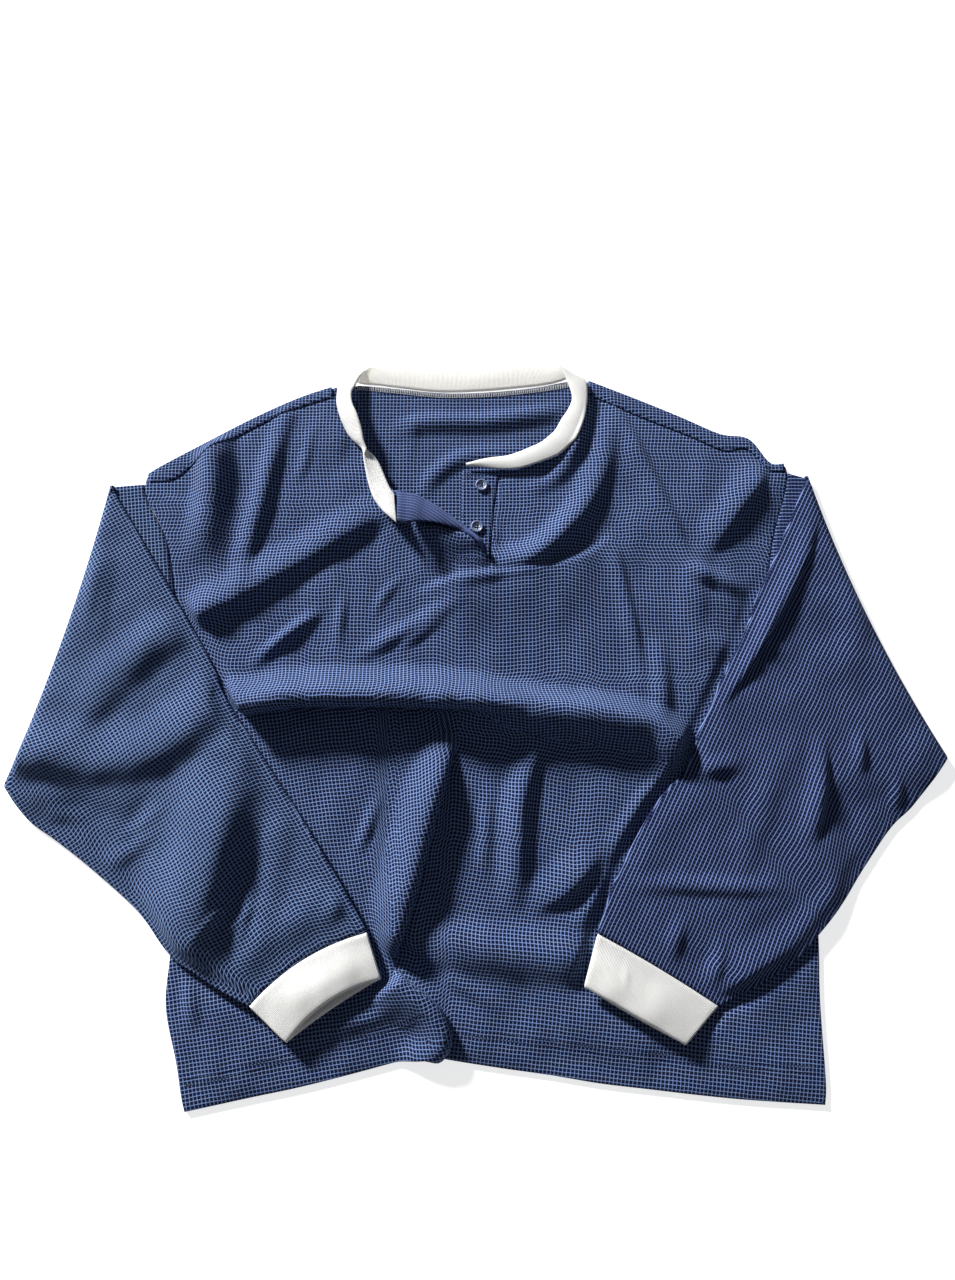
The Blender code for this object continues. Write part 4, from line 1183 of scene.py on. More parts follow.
@dataclass
class Back:
    """Back panel, flat, its shoulder edges turned up and over to the forward seams."""

    pattern: Pattern
    front: Front
    finish: bpy.types.Material
    step: float = 4.0
    turns: tuple[float, ...] = (22.5, 45.0, 67.5, 90.0, 112.5, 135.0, 157.5, 180.0)
    reaches: tuple[float, ...] = (0.35, 0.7, 0.9, 1.0)
    lap: float = 1.0                         # how far a shoulder's edge lies over the front, and above it
    crown: float = 0.7                       # how far a shoulder's strip swells
    folds: tuple[Fold, ...] = (
        Fold("inside_upper", ((-90, 283, 0), (-53, 293, 5), (3, 294, 5.6), (63, 302, 5), (92, 308, 0)),
             14, 16),
        Fold("inside_lower", ((-53, 211, 0), (-46, 234, 3.6), (-16, 255, 4), (33, 261, 3), (79, 261, 0)),
             13, 13),
        Fold("inside_side", ((-74, 242, 0), (-66, 274, 1), (-60, 317, 0)), 12, 9),
    )

    def shoulder(self, side: Side, plan: np.ndarray, points: list, faces: list) -> None:
        """Add one shoulder's strip from the fold to the seam.

        Args:
            side: Which shoulder.
            plan: Plan points of the flat panel.
            points: Points of the mesh so far, which grow.
            faces: Faces of the mesh so far, which grow.
        """
        fold, seam = (Path(rounded(self.pattern.line(name, side)))
                      for name in ("shoulder_fold", "shoulder_seam"))
        distance, _side, run, _normal = fold.nearest(plan)
        chosen = np.flatnonzero(distance < 0.05)
        radius = (FRONT_Z - BACK_Z) / 2.0
        rows = []
        for index in chosen[np.argsort(run[chosen])]:
            start, meets = plan[index], seam.at(run[index] / fold.length)
            step_up = self.front.surface(meets)[0, 2] - FRONT_Z + self.lap
            length, ahead = np.hypot(*(meets[0] - start)), unit(meets[0] - start)
            strip = []
            for angle in np.radians(self.turns):
                x, y = start - ahead * radius * math.sin(angle)
                strip.append((x, y, BACK_Z + radius * (1.0 - math.cos(angle))))
            for share in self.reaches:
                x, y = start + ahead * (length + self.lap) * share
                strip.append((x, y, FRONT_Z + self.crown * math.sin(math.pi * share) + step_up * share))
            rows.append([int(index), *range(len(points), len(points) + len(strip))])
            points += strip
        for row, following in zip(rows, rows[1:]):
            for a, b, c, d in zip(row, following, following[1:], row[1:]):
                faces += [(a, b, c), (a, c, d)]

    def build(self) -> None:
        """Build the panel."""
        outline = self.pattern.back(self.step)
        area = Area(outline)
        inner = np.vstack([edge_rows(outline, (0.9, 2.6), area), spread(area, self.step, 5.5)])
        plan, faces = fill_plan(outline, inner)
        level = np.maximum(Folds(self.folds).relief(plan)[0], -0.4) * ease((area.inner(plan) - 4.0) / 12.0)
        points = [(x, y, BACK_Z + rise) for (x, y), rise in zip(plan, level)]
        for side in Side:
            self.shoulder(side, plan, points, faces)
        points = np.array(points)
        strip = len(self.turns) + len(self.reaches)
        thickness = np.ones(len(points))
        thickness[len(plan) + strip - 1::strip] = 0.45
        cloth = points[:, :2].copy()
        cloth[:, 1] -= 2.0 * np.where(np.arange(len(points)) < len(plan), BACK_Z, points[:, 2])
        Piece("back_panel", "back", points, faces, self.finish, Slot.WAFFLE, WALL, cloth, thickness,
              Cut(0.66, 0.74, 0.40, rests_on=())).add()


# ------------------------------------------------------------------ sleeves and cuffs
@dataclass(frozen=True)
class Section:
    """Cross-section of a flattened tube of cloth.

    Each point has a share of the width, a distance out of the edge and a height.
    """

    wall: float
    half: float
    across: int = 56
    turn: int = 6

    @property
    def ring(self) -> np.ndarray:
        """Go from the first edge over the upper layer and back under.

        Returns:
            The points, one row each.
        """
        radius = self.half - self.wall / 2.0
        share = np.linspace(0.0, 1.0, self.across + 1)
        angle = np.pi * np.arange(1, self.turn) / self.turn
        upper = np.stack([share, 0 * share, 0 * share + radius], axis=1)
        far = np.stack([0 * angle + 1.0, radius * np.sin(angle), radius * np.cos(angle)], axis=1)
        lower = np.stack([share[::-1], 0 * share, 0 * share - radius], axis=1)
        near = np.stack([0 * angle, -radius * np.sin(angle), -radius * np.cos(angle)], axis=1)
        return np.vstack([upper, far, lower, near])


def tube_piece(name: str, kind: str, rings: np.ndarray, charts: np.ndarray, maps: np.ndarray,
               finish: bpy.types.Material, slot: Slot, wall: float, ends: float, cut: Cut) -> None:
    """Build a tube from its rings.

    Args:
        name: Node that it stands for.
        kind: What its cloth is called.
        rings: Points as rings, points of a ring, and coordinates.
        charts: Number of the cloth map of each face, as rings and points of a ring.
        maps: Cloth maps as charts, rings, points of a ring plus one, and two columns.
        finish: Material.
        slot: Material slot.
        wall: Wall thickness in millimetres.
        ends: How far in from an open end the wall thins out.
        cut: Its flat cut.
    """
    row, column = (index.ravel()[:, None] for index in np.indices(charts.shape))
    cloth = maps[charts.ravel()[:, None], row + (0, 0, 1, 1), column + (0, 1, 1, 0)].reshape(-1, 2)
    run = running(np.linalg.norm(np.diff(rings, axis=0), axis=2).mean(axis=1))
    thickness = np.repeat(0.5 + 0.5 * ease(np.minimum(run, run[-1] - run) / ends), rings.shape[1])
    Piece(f"{name}_{kind}", name, rings.reshape(-1, 3), strip_faces(*rings.shape[:2], closed=True), finish,
          slot, wall, cloth, thickness, cut).add()


@dataclass
class Sleeve:
    """Sleeve: out from the armhole, turned over at its fold, and back over the body to the wrist."""

    side: Side
    pattern: Pattern
    ground: Ground
    finish: bpy.types.Material
    folds: tuple[Fold, ...]
    bow: float                      # how far the elbow fold sags towards the body
    cuff_bow: float                 # how far the wrist seam curves up the sleeve
    wrist_lift: float               # how far the wrist lies off the front
    waves: float = 1.2
    loft: float = 1.8               # how far the upper layer stands off the lower one
    edge_share: float = 0.09        # share of the width over which its folds rise from an edge
    wrist_share: float = 0.10       # share of the length over which they die out at the cuff
    bow_share: float = 0.2          # share of the length over which the fold's bow dies out
    curve_start: float = 0.55       # share of the length where the wrist seam's curve begins
    lift_start: float = 0.6         # share of the length where the wrist begins to lift
    sink: float = 0.5               # how far a trough may go down
    root_rows: int = 12
    turn_rows: int = 14
    arm_rows: int = 120
    section: Section = Section(WALL, SOLID_WALL + GAP / 2.0)

    @classmethod
    def left(cls, *makings: object) -> "Sleeve":
        """The left sleeve, which lies over the end of the roll.

        Args:
            *makings: The cut, the ground and the finish.

        Returns:
            The sleeve.
        """
        return cls(Side.LEFT, *makings, (
            Fold("elbow_high", ((-394, -13, 0), (-367, 6, 5), (-337, 41, 6.5), (-306, 68, 6.5),
                 (-268, 86, 3)), 34, 26, 1),
            Fold("elbow_ridge", ((-445, -39, 9), (-413, -39, 13), (-361, -47, 8.5), (-309, -39, 9.5),
                 (-273, -13, 11), (-244, 20, 5)), 44, 31, 3),
            Fold("forearm_ridge", ((-269, -254, 0), (-264, -219, 13), (-256, -179, 20), (-248, -141, 21),
                 (-239, -98, 20), (-233, -49, 9)), 64, 44, 3),
            Fold("forearm_inner", ((-206, -214, 0), (-194, -184, 2), (-185, -130, 2.4), (-177, -84, 0)),
                 20, 18),
            Fold("wrist_rise", ((-236, -262, 0), (-216, -238, 2), (-166, -196, 2), (-118, -160, 0)), 40, 30),
            Fold("forearm_fine", ((-220, -219, 0), (-212, -188, 3), (-206, -157, 0)), 9, 8),
            Fold("wrinkle_one", ((-264, -214, 0), (-242, -191, 2), (-219, -166, 0)), 6, 5),
            Fold("wrinkle_two", ((-247, -226, 0), (-223, -198, 1.8), (-198, -175, 0)), 6, 5),
            Fold("wrinkle_three", ((-341, -122, 0), (-315, -108, 2), (-286, -84, 0)), 9, 8),
            Fold("wrist_inner", ((-146, -206, 0), (-128, -182, 4.5), (-118, -157, 0)), 16, 12),
            Fold("upper_arm", ((-369, 56, 0), (-366, 108, 3), (-365, 168, 0)), 20, 14),
            Fold("upper_fine", ((-381, 68, 0), (-375, 118, 3), (-367, 168, 0)), 14, 12),
            Fold("fold_low", ((-412, -101, 0), (-390, -99, 2.9), (-361, -102, 0)), 12, 10),
            Fold("under_one", ((-349, -148, 0), (-322, -130, 3), (-292, -102, 0)), 14, 12),
        ), bow=6.0, cuff_bow=9.0, wrist_lift=5.0)

    @classmethod
    def right(cls, *makings: object) -> "Sleeve":
        """The right sleeve, with a long tuck beside its inner edge.

        Args:
            *makings: The cut, the ground and the finish.

        Returns:
            The sleeve.
        """
        return cls(Side.RIGHT, *makings, (
            Fold("tuck", ((217, -13, 0), (239, 18, 5.5), (264, 53, 6.5), (287, 90, 6.5), (308, 128, 6),
                 (324, 163, 4), (336, 198, 0)), 22, 7, 2),
            Fold("elbow", ((309, -130, 0), (316, -98, 7), (323, -61, 7), (326, -23, 0)), 17, 10, 1),
            Fold("elbow_outer", ((358, -62, 0), (361, -42, 5), (363, -18, 0)), 10, 9),
            Fold("elbow_far", ((391, -106, 0), (395, -84, 5), (397, -62, 0)), 10, 9),
            Fold("forearm_cross", ((131, -162, 0), (187, -162, 4), (242, -164, 4), (288, -164, 0)), 13, 10),
            Fold("forearm_spot", ((194, -58, 0), (223, -54, 5.5), (253, -50, 0)), 14, 11),
            Fold("wrist_one", ((173, -249, 0), (179, -219, 4), (188, -188, 0)), 12, 10),
            Fold("wrist_two", ((207, -262, 0), (216, -236, 4.5), (225, -206, 0)), 12, 10),
            Fold("under_loft", ((203, -266, 3), (238, -247, 5), (275, -226, 5), (317, -197, 3.5),
                 (363, -148, 0)), 34, 13),
            Fold("forearm_long", ((238, -157, 0), (264, -102, 3), (290, -37, 0)), 22, 18),
            Fold("upper_long", ((356, 20, 0), (368, 88, 4), (366, 168, 0)), 26, 22),
        ), bow=9.0, cuff_bow=1.5, wrist_lift=0.5)

    def fold_line(self, share: np.ndarray) -> tuple[np.ndarray, np.ndarray, np.ndarray, float]:
        """Places along the elbow fold's inner edge.

        Args:
            share: Shares of the fold's length.

        Returns:
            The places, the direction along the fold, the one out of it, and the turn's radius.
        """
        half = self.section.half
        turn_radius = half + GAP / 2.0
        top, under = self.pattern.sleeve_edges(self.side)
        start, end = top.at(0.0)[0], under.at(0.0)[0]
        along = unit(end - start)
        start, end = start + along * half, end - along * half
        outward = np.array([-along[1], along[0]])
        if outward[0] * self.side.value < 0.0:
            outward = -outward
        sag = 4.0 * share * (1.0 - share) * self.bow + turn_radius + half
        return start + (end - start) * share[:, None] - outward * sag[:, None], along, outward, turn_radius

    def root(self) -> list[np.ndarray]:
        """Lay the sleeve out from the armhole and round its fold.

        Returns:
            Rings of points.
        """
        share, out, height = self.section.ring.T
        seam = Path(rounded(self.pattern.line("armhole", self.side))).at(
            ARMHOLE_TRIM + (1.0 - 2.0 * ARMHOLE_TRIM) * share)
        seam[:, 0] += self.side.value * SEAM_GAP
        fold, along, outward, turn_radius = self.fold_line(share)
        rings = []
        for row in range(self.root_rows):
            spot = seam + (fold - seam) * (row / self.root_rows) + along * out[:, None]
            rings.append(np.column_stack([spot, self.section.half - height]))
        centre = turn_radius + self.section.half
        for row in range(self.turn_rows + 1):
            angle = math.pi * row / self.turn_rows
            reach = turn_radius + height
            spot = fold + along * out[:, None] + outward * (reach * math.sin(angle))[:, None]
            rings.append(np.column_stack([spot, centre - reach * math.cos(angle)]))
        return rings

    def arm(self) -> list[np.ndarray]:
        """Lay the sleeve back over the body, from its fold to the wrist.

        Returns:
            Rings of points.
        """
        share, out, height = self.section.ring.T
        top, under = self.pattern.sleeve_edges(self.side)
        creases = Folds(self.folds, self.waves, seed=23 + self.side.value)
        half = self.section.half
        rings = []
        for row in range(1, self.arm_rows + 1):
            part = row / self.arm_rows
            start, end = top.at(part)[0], under.at(part)[0]
            across = unit(end - start)
            start, end = start + across * half, end - across * half
            wristward = np.array([across[1], -across[0]]) * self.side.value
            wristing = ease((part - self.curve_start) / (1.0 - self.curve_start))
            curve = (1.0 - ease(part / self.bow_share)) * self.bow - self.cuff_bow * wristing
            lift = 4.0 * share * (1.0 - share) * curve
            spot = start + (end - start) * share[:, None] + across * out[:, None] + wristward * lift[:, None]
            ground = self.ground.height(self.side, spot)
            ground += self.wrist_lift * ease((part - self.lift_start) / (1.0 - self.lift_start))
            relief, shift = creases.relief(spot)
            level = ease(np.minimum(share, 1.0 - share) / self.edge_share)
            level *= (1.0 - ease((part - 1.0 + self.wrist_share) / self.wrist_share)) * ease(part * 30.0)
            upper = np.where(height > 0.0, level, 0.0)
            rise = np.maximum(relief + self.loft + creases.unevenness(spot), -self.sink)
            spot = spot + shift * upper[:, None]
            rings.append(np.column_stack([spot, ground + half + height + rise * upper]))
        return rings

    def cloth_maps(self, rings: np.ndarray) -> np.ndarray:
        """Cloth coordinates of the upper layer, the lower one, and the root by the armhole.

        Args:
            rings: Points of the tube.

        Returns:
            Maps as charts, rings, points of a ring plus one, and two columns.
        """
        closed = np.concatenate([rings, rings[:, :1]], axis=1)
        plan = closed[..., :2]
        top = self.pattern.sleeve_edges(self.side)[0]
        axis = unit(top.at(1.0)[0] - top.at(0.0)[0])
        u, v = plan @ np.array([-axis[1], axis[0]]), plan @ axis
        extra_u, extra_v = (running(np.linalg.norm(step, axis=2) - np.hypot(step[..., 0], step[..., 1]), way)
                            for way, step in ((1, np.diff(closed, axis=1)), (0, np.diff(closed, axis=0))))
        upper = np.stack([u + np.sign(u[-1, self.section.across] - u[-1, 0]) * extra_u, v + extra_v], axis=2)
        fold = unit(rings[self.root_rows].mean(axis=0)[:2] - rings[0].mean(axis=0)[:2])
        root = np.stack([plan @ np.array([-fold[1], fold[0]]), plan @ fold], axis=2)
        return np.stack([upper, np.stack([-u, v], axis=2), root])

    def build(self) -> None:
        """Build the sleeve."""
        rings = np.array(self.root() + self.arm())
        half_turn = self.section.turn // 2
        charts = np.zeros((len(rings) - 1, rings.shape[1]), int)
        charts[:, self.section.across + half_turn:rings.shape[1] - half_turn] = 1
        charts[:self.root_rows + self.turn_rows // 2] = 2
        tube_piece(f"sleeve_{self.side.name.lower()}", "cloth", rings, charts, self.cloth_maps(rings),
                   self.finish, Slot.WAFFLE, WALL, 2.0, Cut(0.46, 0.60, 0.22, Held.FOLDED))


@dataclass
class Cuff:
    """Cuff: a short flattened tube of doubled rib, from the wrist seam to its mouth."""

    side: Side
    pattern: Pattern
    finish: bpy.types.Material
    seam_bow: float                 # how far the seam curves up the sleeve
    mouth_bow: float                # how far the upper layer's mouth does
    under_bow: float                # how far the lower layer's mouth does
    crown: float                    # how far the mouth stands open
    tilt: float                     # how far the mouth lies above the seam
    wrist_lift: float               # how far the seam lies off the front
    folds: tuple[Fold, ...] = ()
    waves: float = 1.1
    bulge: float = 0.9              # how far the upper layer swells between seam and mouth
    seam_inset: float = 0.45        # how much narrower it is at the seam, each side
    rows: int = 16
    rest: float = 0.3
    section: Section = Section(RIB_WALL, 2.2, 44, 6)

    def build(self) -> None:
        """Build the cuff."""
        share, out, height = self.section.ring.T
        top, under = self.pattern.sleeve_edges(self.side)
        seam = np.array([top.at(1.0)[0], under.at(1.0)[0]])
        end = np.array(self.pattern.line("cuff_end", self.side), float)
        across = unit(seam[1] - seam[0])
        down = np.array([across[1], -across[0]]) * self.side.value
        seam = seam + down * 2.0 * SEAM_GAP
        creases = Folds(self.folds, self.waves, seed=40 + self.side.value)
        half = self.section.half
        rings = []
        for row in range(self.rows + 1):
            part = row / self.rows
            first, last = seam + (end - seam) * part
            across = unit(last - first)
            inset = half + self.seam_inset * (1.0 - part)
            first, last = first + across * inset, last - across * inset
            mouth = np.where(height > 0.0, self.mouth_bow, self.under_bow)
            lift = 4.0 * share * (1.0 - share) * (self.seam_bow + (mouth - self.seam_bow) * part)
            spot = first + (last - first) * share[:, None] + across * out[:, None] - down * lift[:, None]
            bulge = self.bulge * math.sin(math.pi * part) * np.sin(np.pi * share)
            rise = self.crown * np.sin(np.pi * share) * ease(part * 1.4) + bulge
            rise += (creases.unevenness(spot) + creases.relief(spot)[0]) * math.sin(math.pi * min(part, 0.6))
            z = SLEEVE_LIFT + self.rest + self.wrist_lift + self.tilt * ease(part) + half + height
            z = z + np.where(height > 0.0, np.maximum(rise, 0.0), 0.0)
            rings.append(np.column_stack([spot, z]))
        rings = np.array(rings)
        closed = np.concatenate([rings, rings[:, :1]], axis=1)
        u, v = lengths(closed, 1), lengths(closed, 0)
        maps = np.stack([np.broadcast_to(u[len(u) // 2], u.shape), v], axis=2)[None]
        charts = np.zeros((self.rows, rings.shape[1]), int)
        tube_piece(f"cuff_{self.side.name.lower()}", "rib", rings, charts, maps, self.finish, Slot.RIB,
                   RIB_WALL, 2.6, Cut(0.22, 0.056, 0.0115))


# ------------------------------------------------------------------ neck
@dataclass
class NeckBand:
    """Neck band: a strip of doubled rib between the neck seam and its own free edge."""

    front: Front
    finish: bpy.types.Material
    across: int = 9
    crown: float = 1.1
    waves: float = 0.35
    clear: float = 1.95             # from the front's middle to the band's
    lowest: float = 1.05            # height of the band's middle where the front isn't under it
    usual_width: float = 20.0
    taper: float = 2.2              # how far in from its free edge the wall thins out
    # x, y and height of the seam, then of the free edge across from it
    stations: tuple[tuple[float, ...], ...] = (
        (-82, 212, 18.5, -78, 180, 27), (-86, 218, 17.5, -86.5, 188, 25), (-90, 227, 15.5, -94, 196, 21),
        (-94, 237, 13, -102, 208, 18.5), (-99, 248, 10.5, -107.5, 223.5, 17),
        (-106, 257, 9, -111, 239.5, 16.5), (-113, 263, 8, -112.5, 252, 16.5),
        (-120, 268, 7.5, -110, 259.5, 16.5), (-127, 275, 7, -113, 268, 17.5),
        (-132, 283, 6.5, -115.5, 280.5, 19), (-138, 297, 6.5, -120, 295, 20),
        (-142, 313, 6.5, -125.5, 308.5, 18), (-140.5, 329.5, 6.5, -126.5, 321, 14),
        (-135.5, 337, 6, -123, 329.5, 10.5), (-130, 341, 4.5, -119.5, 339.5, 8),
        (-126, 338, 2.5, -114.5, 348, 6), (-120, 335, 1.3, -108.5, 353.5, 4),
        (-111, 334, 1.1, -102, 355.5, 2.5), (-98.5, 333, 1.1, -91.5, 355.5, 1.5),
        (-84, 331, 1.1, -83.5, 355, 1.2), (-38, 326, 1.1, -38.5, 352.5, 1.2), (3, 327, 1.1, 2.5, 353.5, 1.2),
        (33, 329.5, 1.1, 33.5, 356.5, 1.2), (64, 333, 1.2, 60, 358.5, 1.6), (80, 336, 1.8, 73, 359, 3),
        (90, 339, 3, 81, 358, 6), (98, 341.5, 5.5, 84, 353, 8), (106, 339, 7.5, 87, 346, 8),
        (110.5, 331.5, 9, 90, 337.5, 7.5), (111, 320.5, 9.5, 94, 325.5, 8),
        (110, 308.5, 10, 95.5, 315.5, 8.5), (107, 295.5, 10.5, 91.5, 304.5, 9),
        (103, 283.5, 10.5, 84, 293, 9), (98, 272.5, 11, 78, 282, 9.5), (91, 264.5, 11, 70.5, 274.5, 9.5),
        (82, 256.5, 10.5, 62.5, 268.5, 9), (71, 251.5, 10, 53.5, 264.5, 8.5),
        (57, 246.5, 9.5, 41.5, 259.5, 8), (41, 242, 9, 28.5, 255.5, 7.5), (23, 242, 7.5, 14.5, 254, 7),
        (4, 244.5, 6.5, 1.5, 251.5, 7), (-11, 246, 5.8, -11.5, 247.5, 6.4),
    )

    def build(self) -> None:
        """Build the band."""
        line = rounded(self.stations)
        seam, free = line[:, :3], line[:, 3:]
        run = running(np.linalg.norm(np.diff(seam + free, axis=0), axis=1) / 2.0)
        share = np.linspace(0.0, 1.0, self.across + 1)
        points = seam[:, None] + (free - seam)[:, None] * share[:, None]
        points[..., 2] += self.crown * np.sin(np.pi * share)
        shape = points.shape[:2]
        flat = points[..., :2].reshape(-1, 2)
        wavy = Folds((), self.waves, seed=5).unevenness(flat) * np.tile(share, len(points))
        over_front = self.front.surface(flat)[:, 2] + self.clear
        under = np.where(self.front.area.contains(flat), over_front, self.lowest)
        points[..., 2] = np.maximum(points[..., 2] + wavy.reshape(shape), under.reshape(shape))
        width = np.linalg.norm(free - seam, axis=1)[:, None]
        cloth = np.stack(np.broadcast_arrays(run[:, None], width * share), axis=2).reshape(-1, 2)
        full = ease((1.0 - share) * self.usual_width / self.taper)
        thickness = np.broadcast_to(0.55 + 0.45 * full, shape).ravel()
        Piece("neck_band_rib", "neck_band", points.reshape(-1, 3), strip_faces(*shape), self.finish, Slot.RIB,
              RIB_WALL, cloth, thickness, Cut(0.68, 0.023, 0.0136, rests_on=("back_panel",))).add()


@dataclass
class Placket:
    """Placket: the under strip with its buttons, and the upper strip turned open."""

    front: Front
    upper_finish: bpy.types.Material
    under_finish: bpy.types.Material
    roll: Plan = ((-79, 212), (-62, 210.5), (-51, 205), (-39, 197.5), (-27, 188.5), (-16, 180.5), (-6, 172),
                  (3, 162.5), (8, 154))
    free: Plan = ((-77, 181), (-71, 178.5), (-62.5, 180.5), (-52, 182), (-42.5, 181.5), (-29.5, 179),
                   (-17, 175.5), (-6.5, 169.5), (1.5, 161), (7.5, 155))
    under: Plan = ((-17, 152), (12.0, 152), (13.6, 170), (16.6, 205), (22.0, 240), (-15.5, 241.5))
    crown: float = 2.0
    stand: tuple[float, float] = (0.45, 0.3)    # rise of the turned strip to its free edge, at both ends
    lift: float = 0.3                           # clear space under it
    along: int = 46
    across: int = 14
    curl: tuple[float, ...] = (150.0, 120.0, 90.0, 60.0, 30.0)     # degrees round the slit edge
    past: float = 0.9                           # how far the curl stands out past that edge
    under_step: float = 2.5                     # step of the under strip's outline
    under_grid: float = 2.8                     # step of its inner points
    under_drop: float = 0.05                    # how far its edge lies below the front's middle
    under_crown: float = 0.35                   # how far it rises from there
    under_run: float = 5.0                      # how far from the edge it takes to do so

    def build_upper(self) -> None:
        """Build the turned strip, rolled round the front's slit edge."""
        shares, part = np.linspace(0.0, 1.0, self.along), np.linspace(0.0, 1.0, self.across)
        roll, free = (Path(rounded(line, 8)).at(shares) for line in (self.roll, self.free))
        radius = (LAYER + self.lift) / 2.0
        rows = []
        for share, start, end in zip(shares, roll, free):
            spot = self.front.surface(start + (end - start) * part[:, None])
            stand = self.stand[0] + (self.stand[1] - self.stand[0]) * math.sqrt(share)
            level = spot[0, 2] + stand * np.hypot(*(end - start)) * part
            spot[:, 2] = (np.maximum(spot[:, 2], level) + LAYER + self.lift
                          + self.crown * np.sin(np.pi * part) ** 0.8)
            curl = []
            for angle in np.radians(self.curl):
                x, y = spot[0, :2] + unit(start - end) * (self.past + radius * math.sin(angle))
                curl.append((x, y, spot[0, 2] - radius * (1.0 - math.cos(angle))))
            rows.append(np.vstack([curl, spot]))
        points = np.array(rows)
        run = running(np.hypot(*np.diff(roll, axis=0).T))
        cloth = np.stack(np.broadcast_arrays(lengths(points, 1), run[:, None]), axis=2).reshape(-1, 2)
        faces = [face[::-1] for face in strip_faces(*points.shape[:2])]
        Piece("placket_upper_strip", "placket_upper", points.reshape(-1, 3), faces, self.upper_finish,
              Slot.WAFFLE, WALL, cloth, None, Cut(0.034, 0.112, 0.0026, Held.FOLDED)).add()

    def build_under(self) -> None:
        """Build the under strip, which lies on the inside of the back."""
        outline = Path(np.vstack([self.under, self.under[:1]])).resampled(self.under_step)[:-1]
        area = Area(outline)
        inner = np.vstack([edge_rows(outline, (1.1,), area), spread(area, self.under_grid, margin=2.4)])
        plan, faces = fill_plan(outline, inner)
        edge = area.inner(plan)
        level = FRONT_Z - self.under_drop + self.under_crown * ease(edge / self.under_run)
        points = np.column_stack([plan, level])
        Piece("placket_under_strip", "placket_under", points, faces, self.under_finish, Slot.WAFFLE, WALL,
              plan, 0.55 + 0.45 * ease(edge / 1.6), Cut(0.040, 0.090, 0.0034, rests_on=("back_panel",))).add()


@dataclass(frozen=True)
class Button:
    """Four-hole shirt button with a raised rim."""

    name: str
    finish: bpy.types.Material
    place: tuple[float, float]
    turn: float                     # how far it is turned on its thread, in radians
    radius: float = 6.25
    thickness: float = 2.6
    hole_radius: float = 0.85
    hole_spread: float = 1.6675
    around: int = 64
    hole_around: int = 16
    plate: float = 0.62             # share of the thickness at which the middle lies
    # share of the radius and of the thickness, from the underside over the rim to the middle
    profile: Plan = ((0.52, 0.0), (0.80, 0.0), (0.93, 0.10), (0.985, 0.28), (1.0, 0.52), (0.975, 0.76),
                     (0.92, 0.93), (0.85, 1.0), (0.78, 0.97), (0.71, 0.86), (0.64, 0.72), (0.58, 0.64),
                     (0.52, 0.62))

    @property
    def base(self) -> float:
        """Height of its underside."""
        return FRONT_Z + SOLID_WALL / 2.0 + 0.25

    def holes(self) -> np.ndarray:
        """Centres of the four holes, from the button's middle."""
        return self.hole_spread * circle(self.turn + np.radians((45.0, 135.0, 225.0, 315.0)))

    def build(self) -> None:
        """Build the button."""
        ring = circle(np.linspace(0.0, math.tau, self.around, endpoint=False))
        hole = self.hole_radius * circle(np.linspace(0.0, math.tau, self.hole_around, endpoint=False))
        points = [(x, y, self.thickness * rise) for share, rise in self.profile
                  for x, y in ring * self.radius * share]
        faces = strip_faces(len(self.profile), self.around, closed=True)
        plan = np.vstack([ring * self.radius * self.profile[0][0],
                          *(centre + hole for centre in self.holes())])
        starts = [self.around + self.hole_around * number for number in range(4)]
        loops = [range(self.around), *(range(start, start + self.hole_around) for start in starts)]
        edges = [(loop[index], loop[(index + 1) % len(loop)]) for loop in loops for index in range(len(loop))]
        plate = delaunay_2d_cdt([Vector(row) for row in plan], edges, [], 1, 1e-5)[2]
        plate = [face for face in plate
                 if not any(all(index in loop for index in face) for loop in loops[1:])]
        under, over = len(points), len(points) + len(plan)
        points += [(x, y, z) for z in (0.0, self.thickness * self.plate) for x, y in plan]
        faces += [tuple(under + index for index in reversed(face)) for face in plate]
        faces += [tuple(over + index for index in face) for face in plate]
        faces += [(under + a, over + a, over + b, under + b) for a, b in edges[self.around:]]
        spots = np.array(points) + (*self.place, self.base)
        made = Piece(self.name + "_disc", self.name, spots, faces, self.finish, Slot.BUTTON).add()
        joined = bmesh.new()
        joined.from_mesh(made.data)
        bmesh.ops.remove_doubles(joined, verts=joined.verts, dist=0.00001)
        bmesh.ops.recalc_face_normals(joined, faces=joined.faces)
        joined.to_mesh(made.data)
        joined.free()


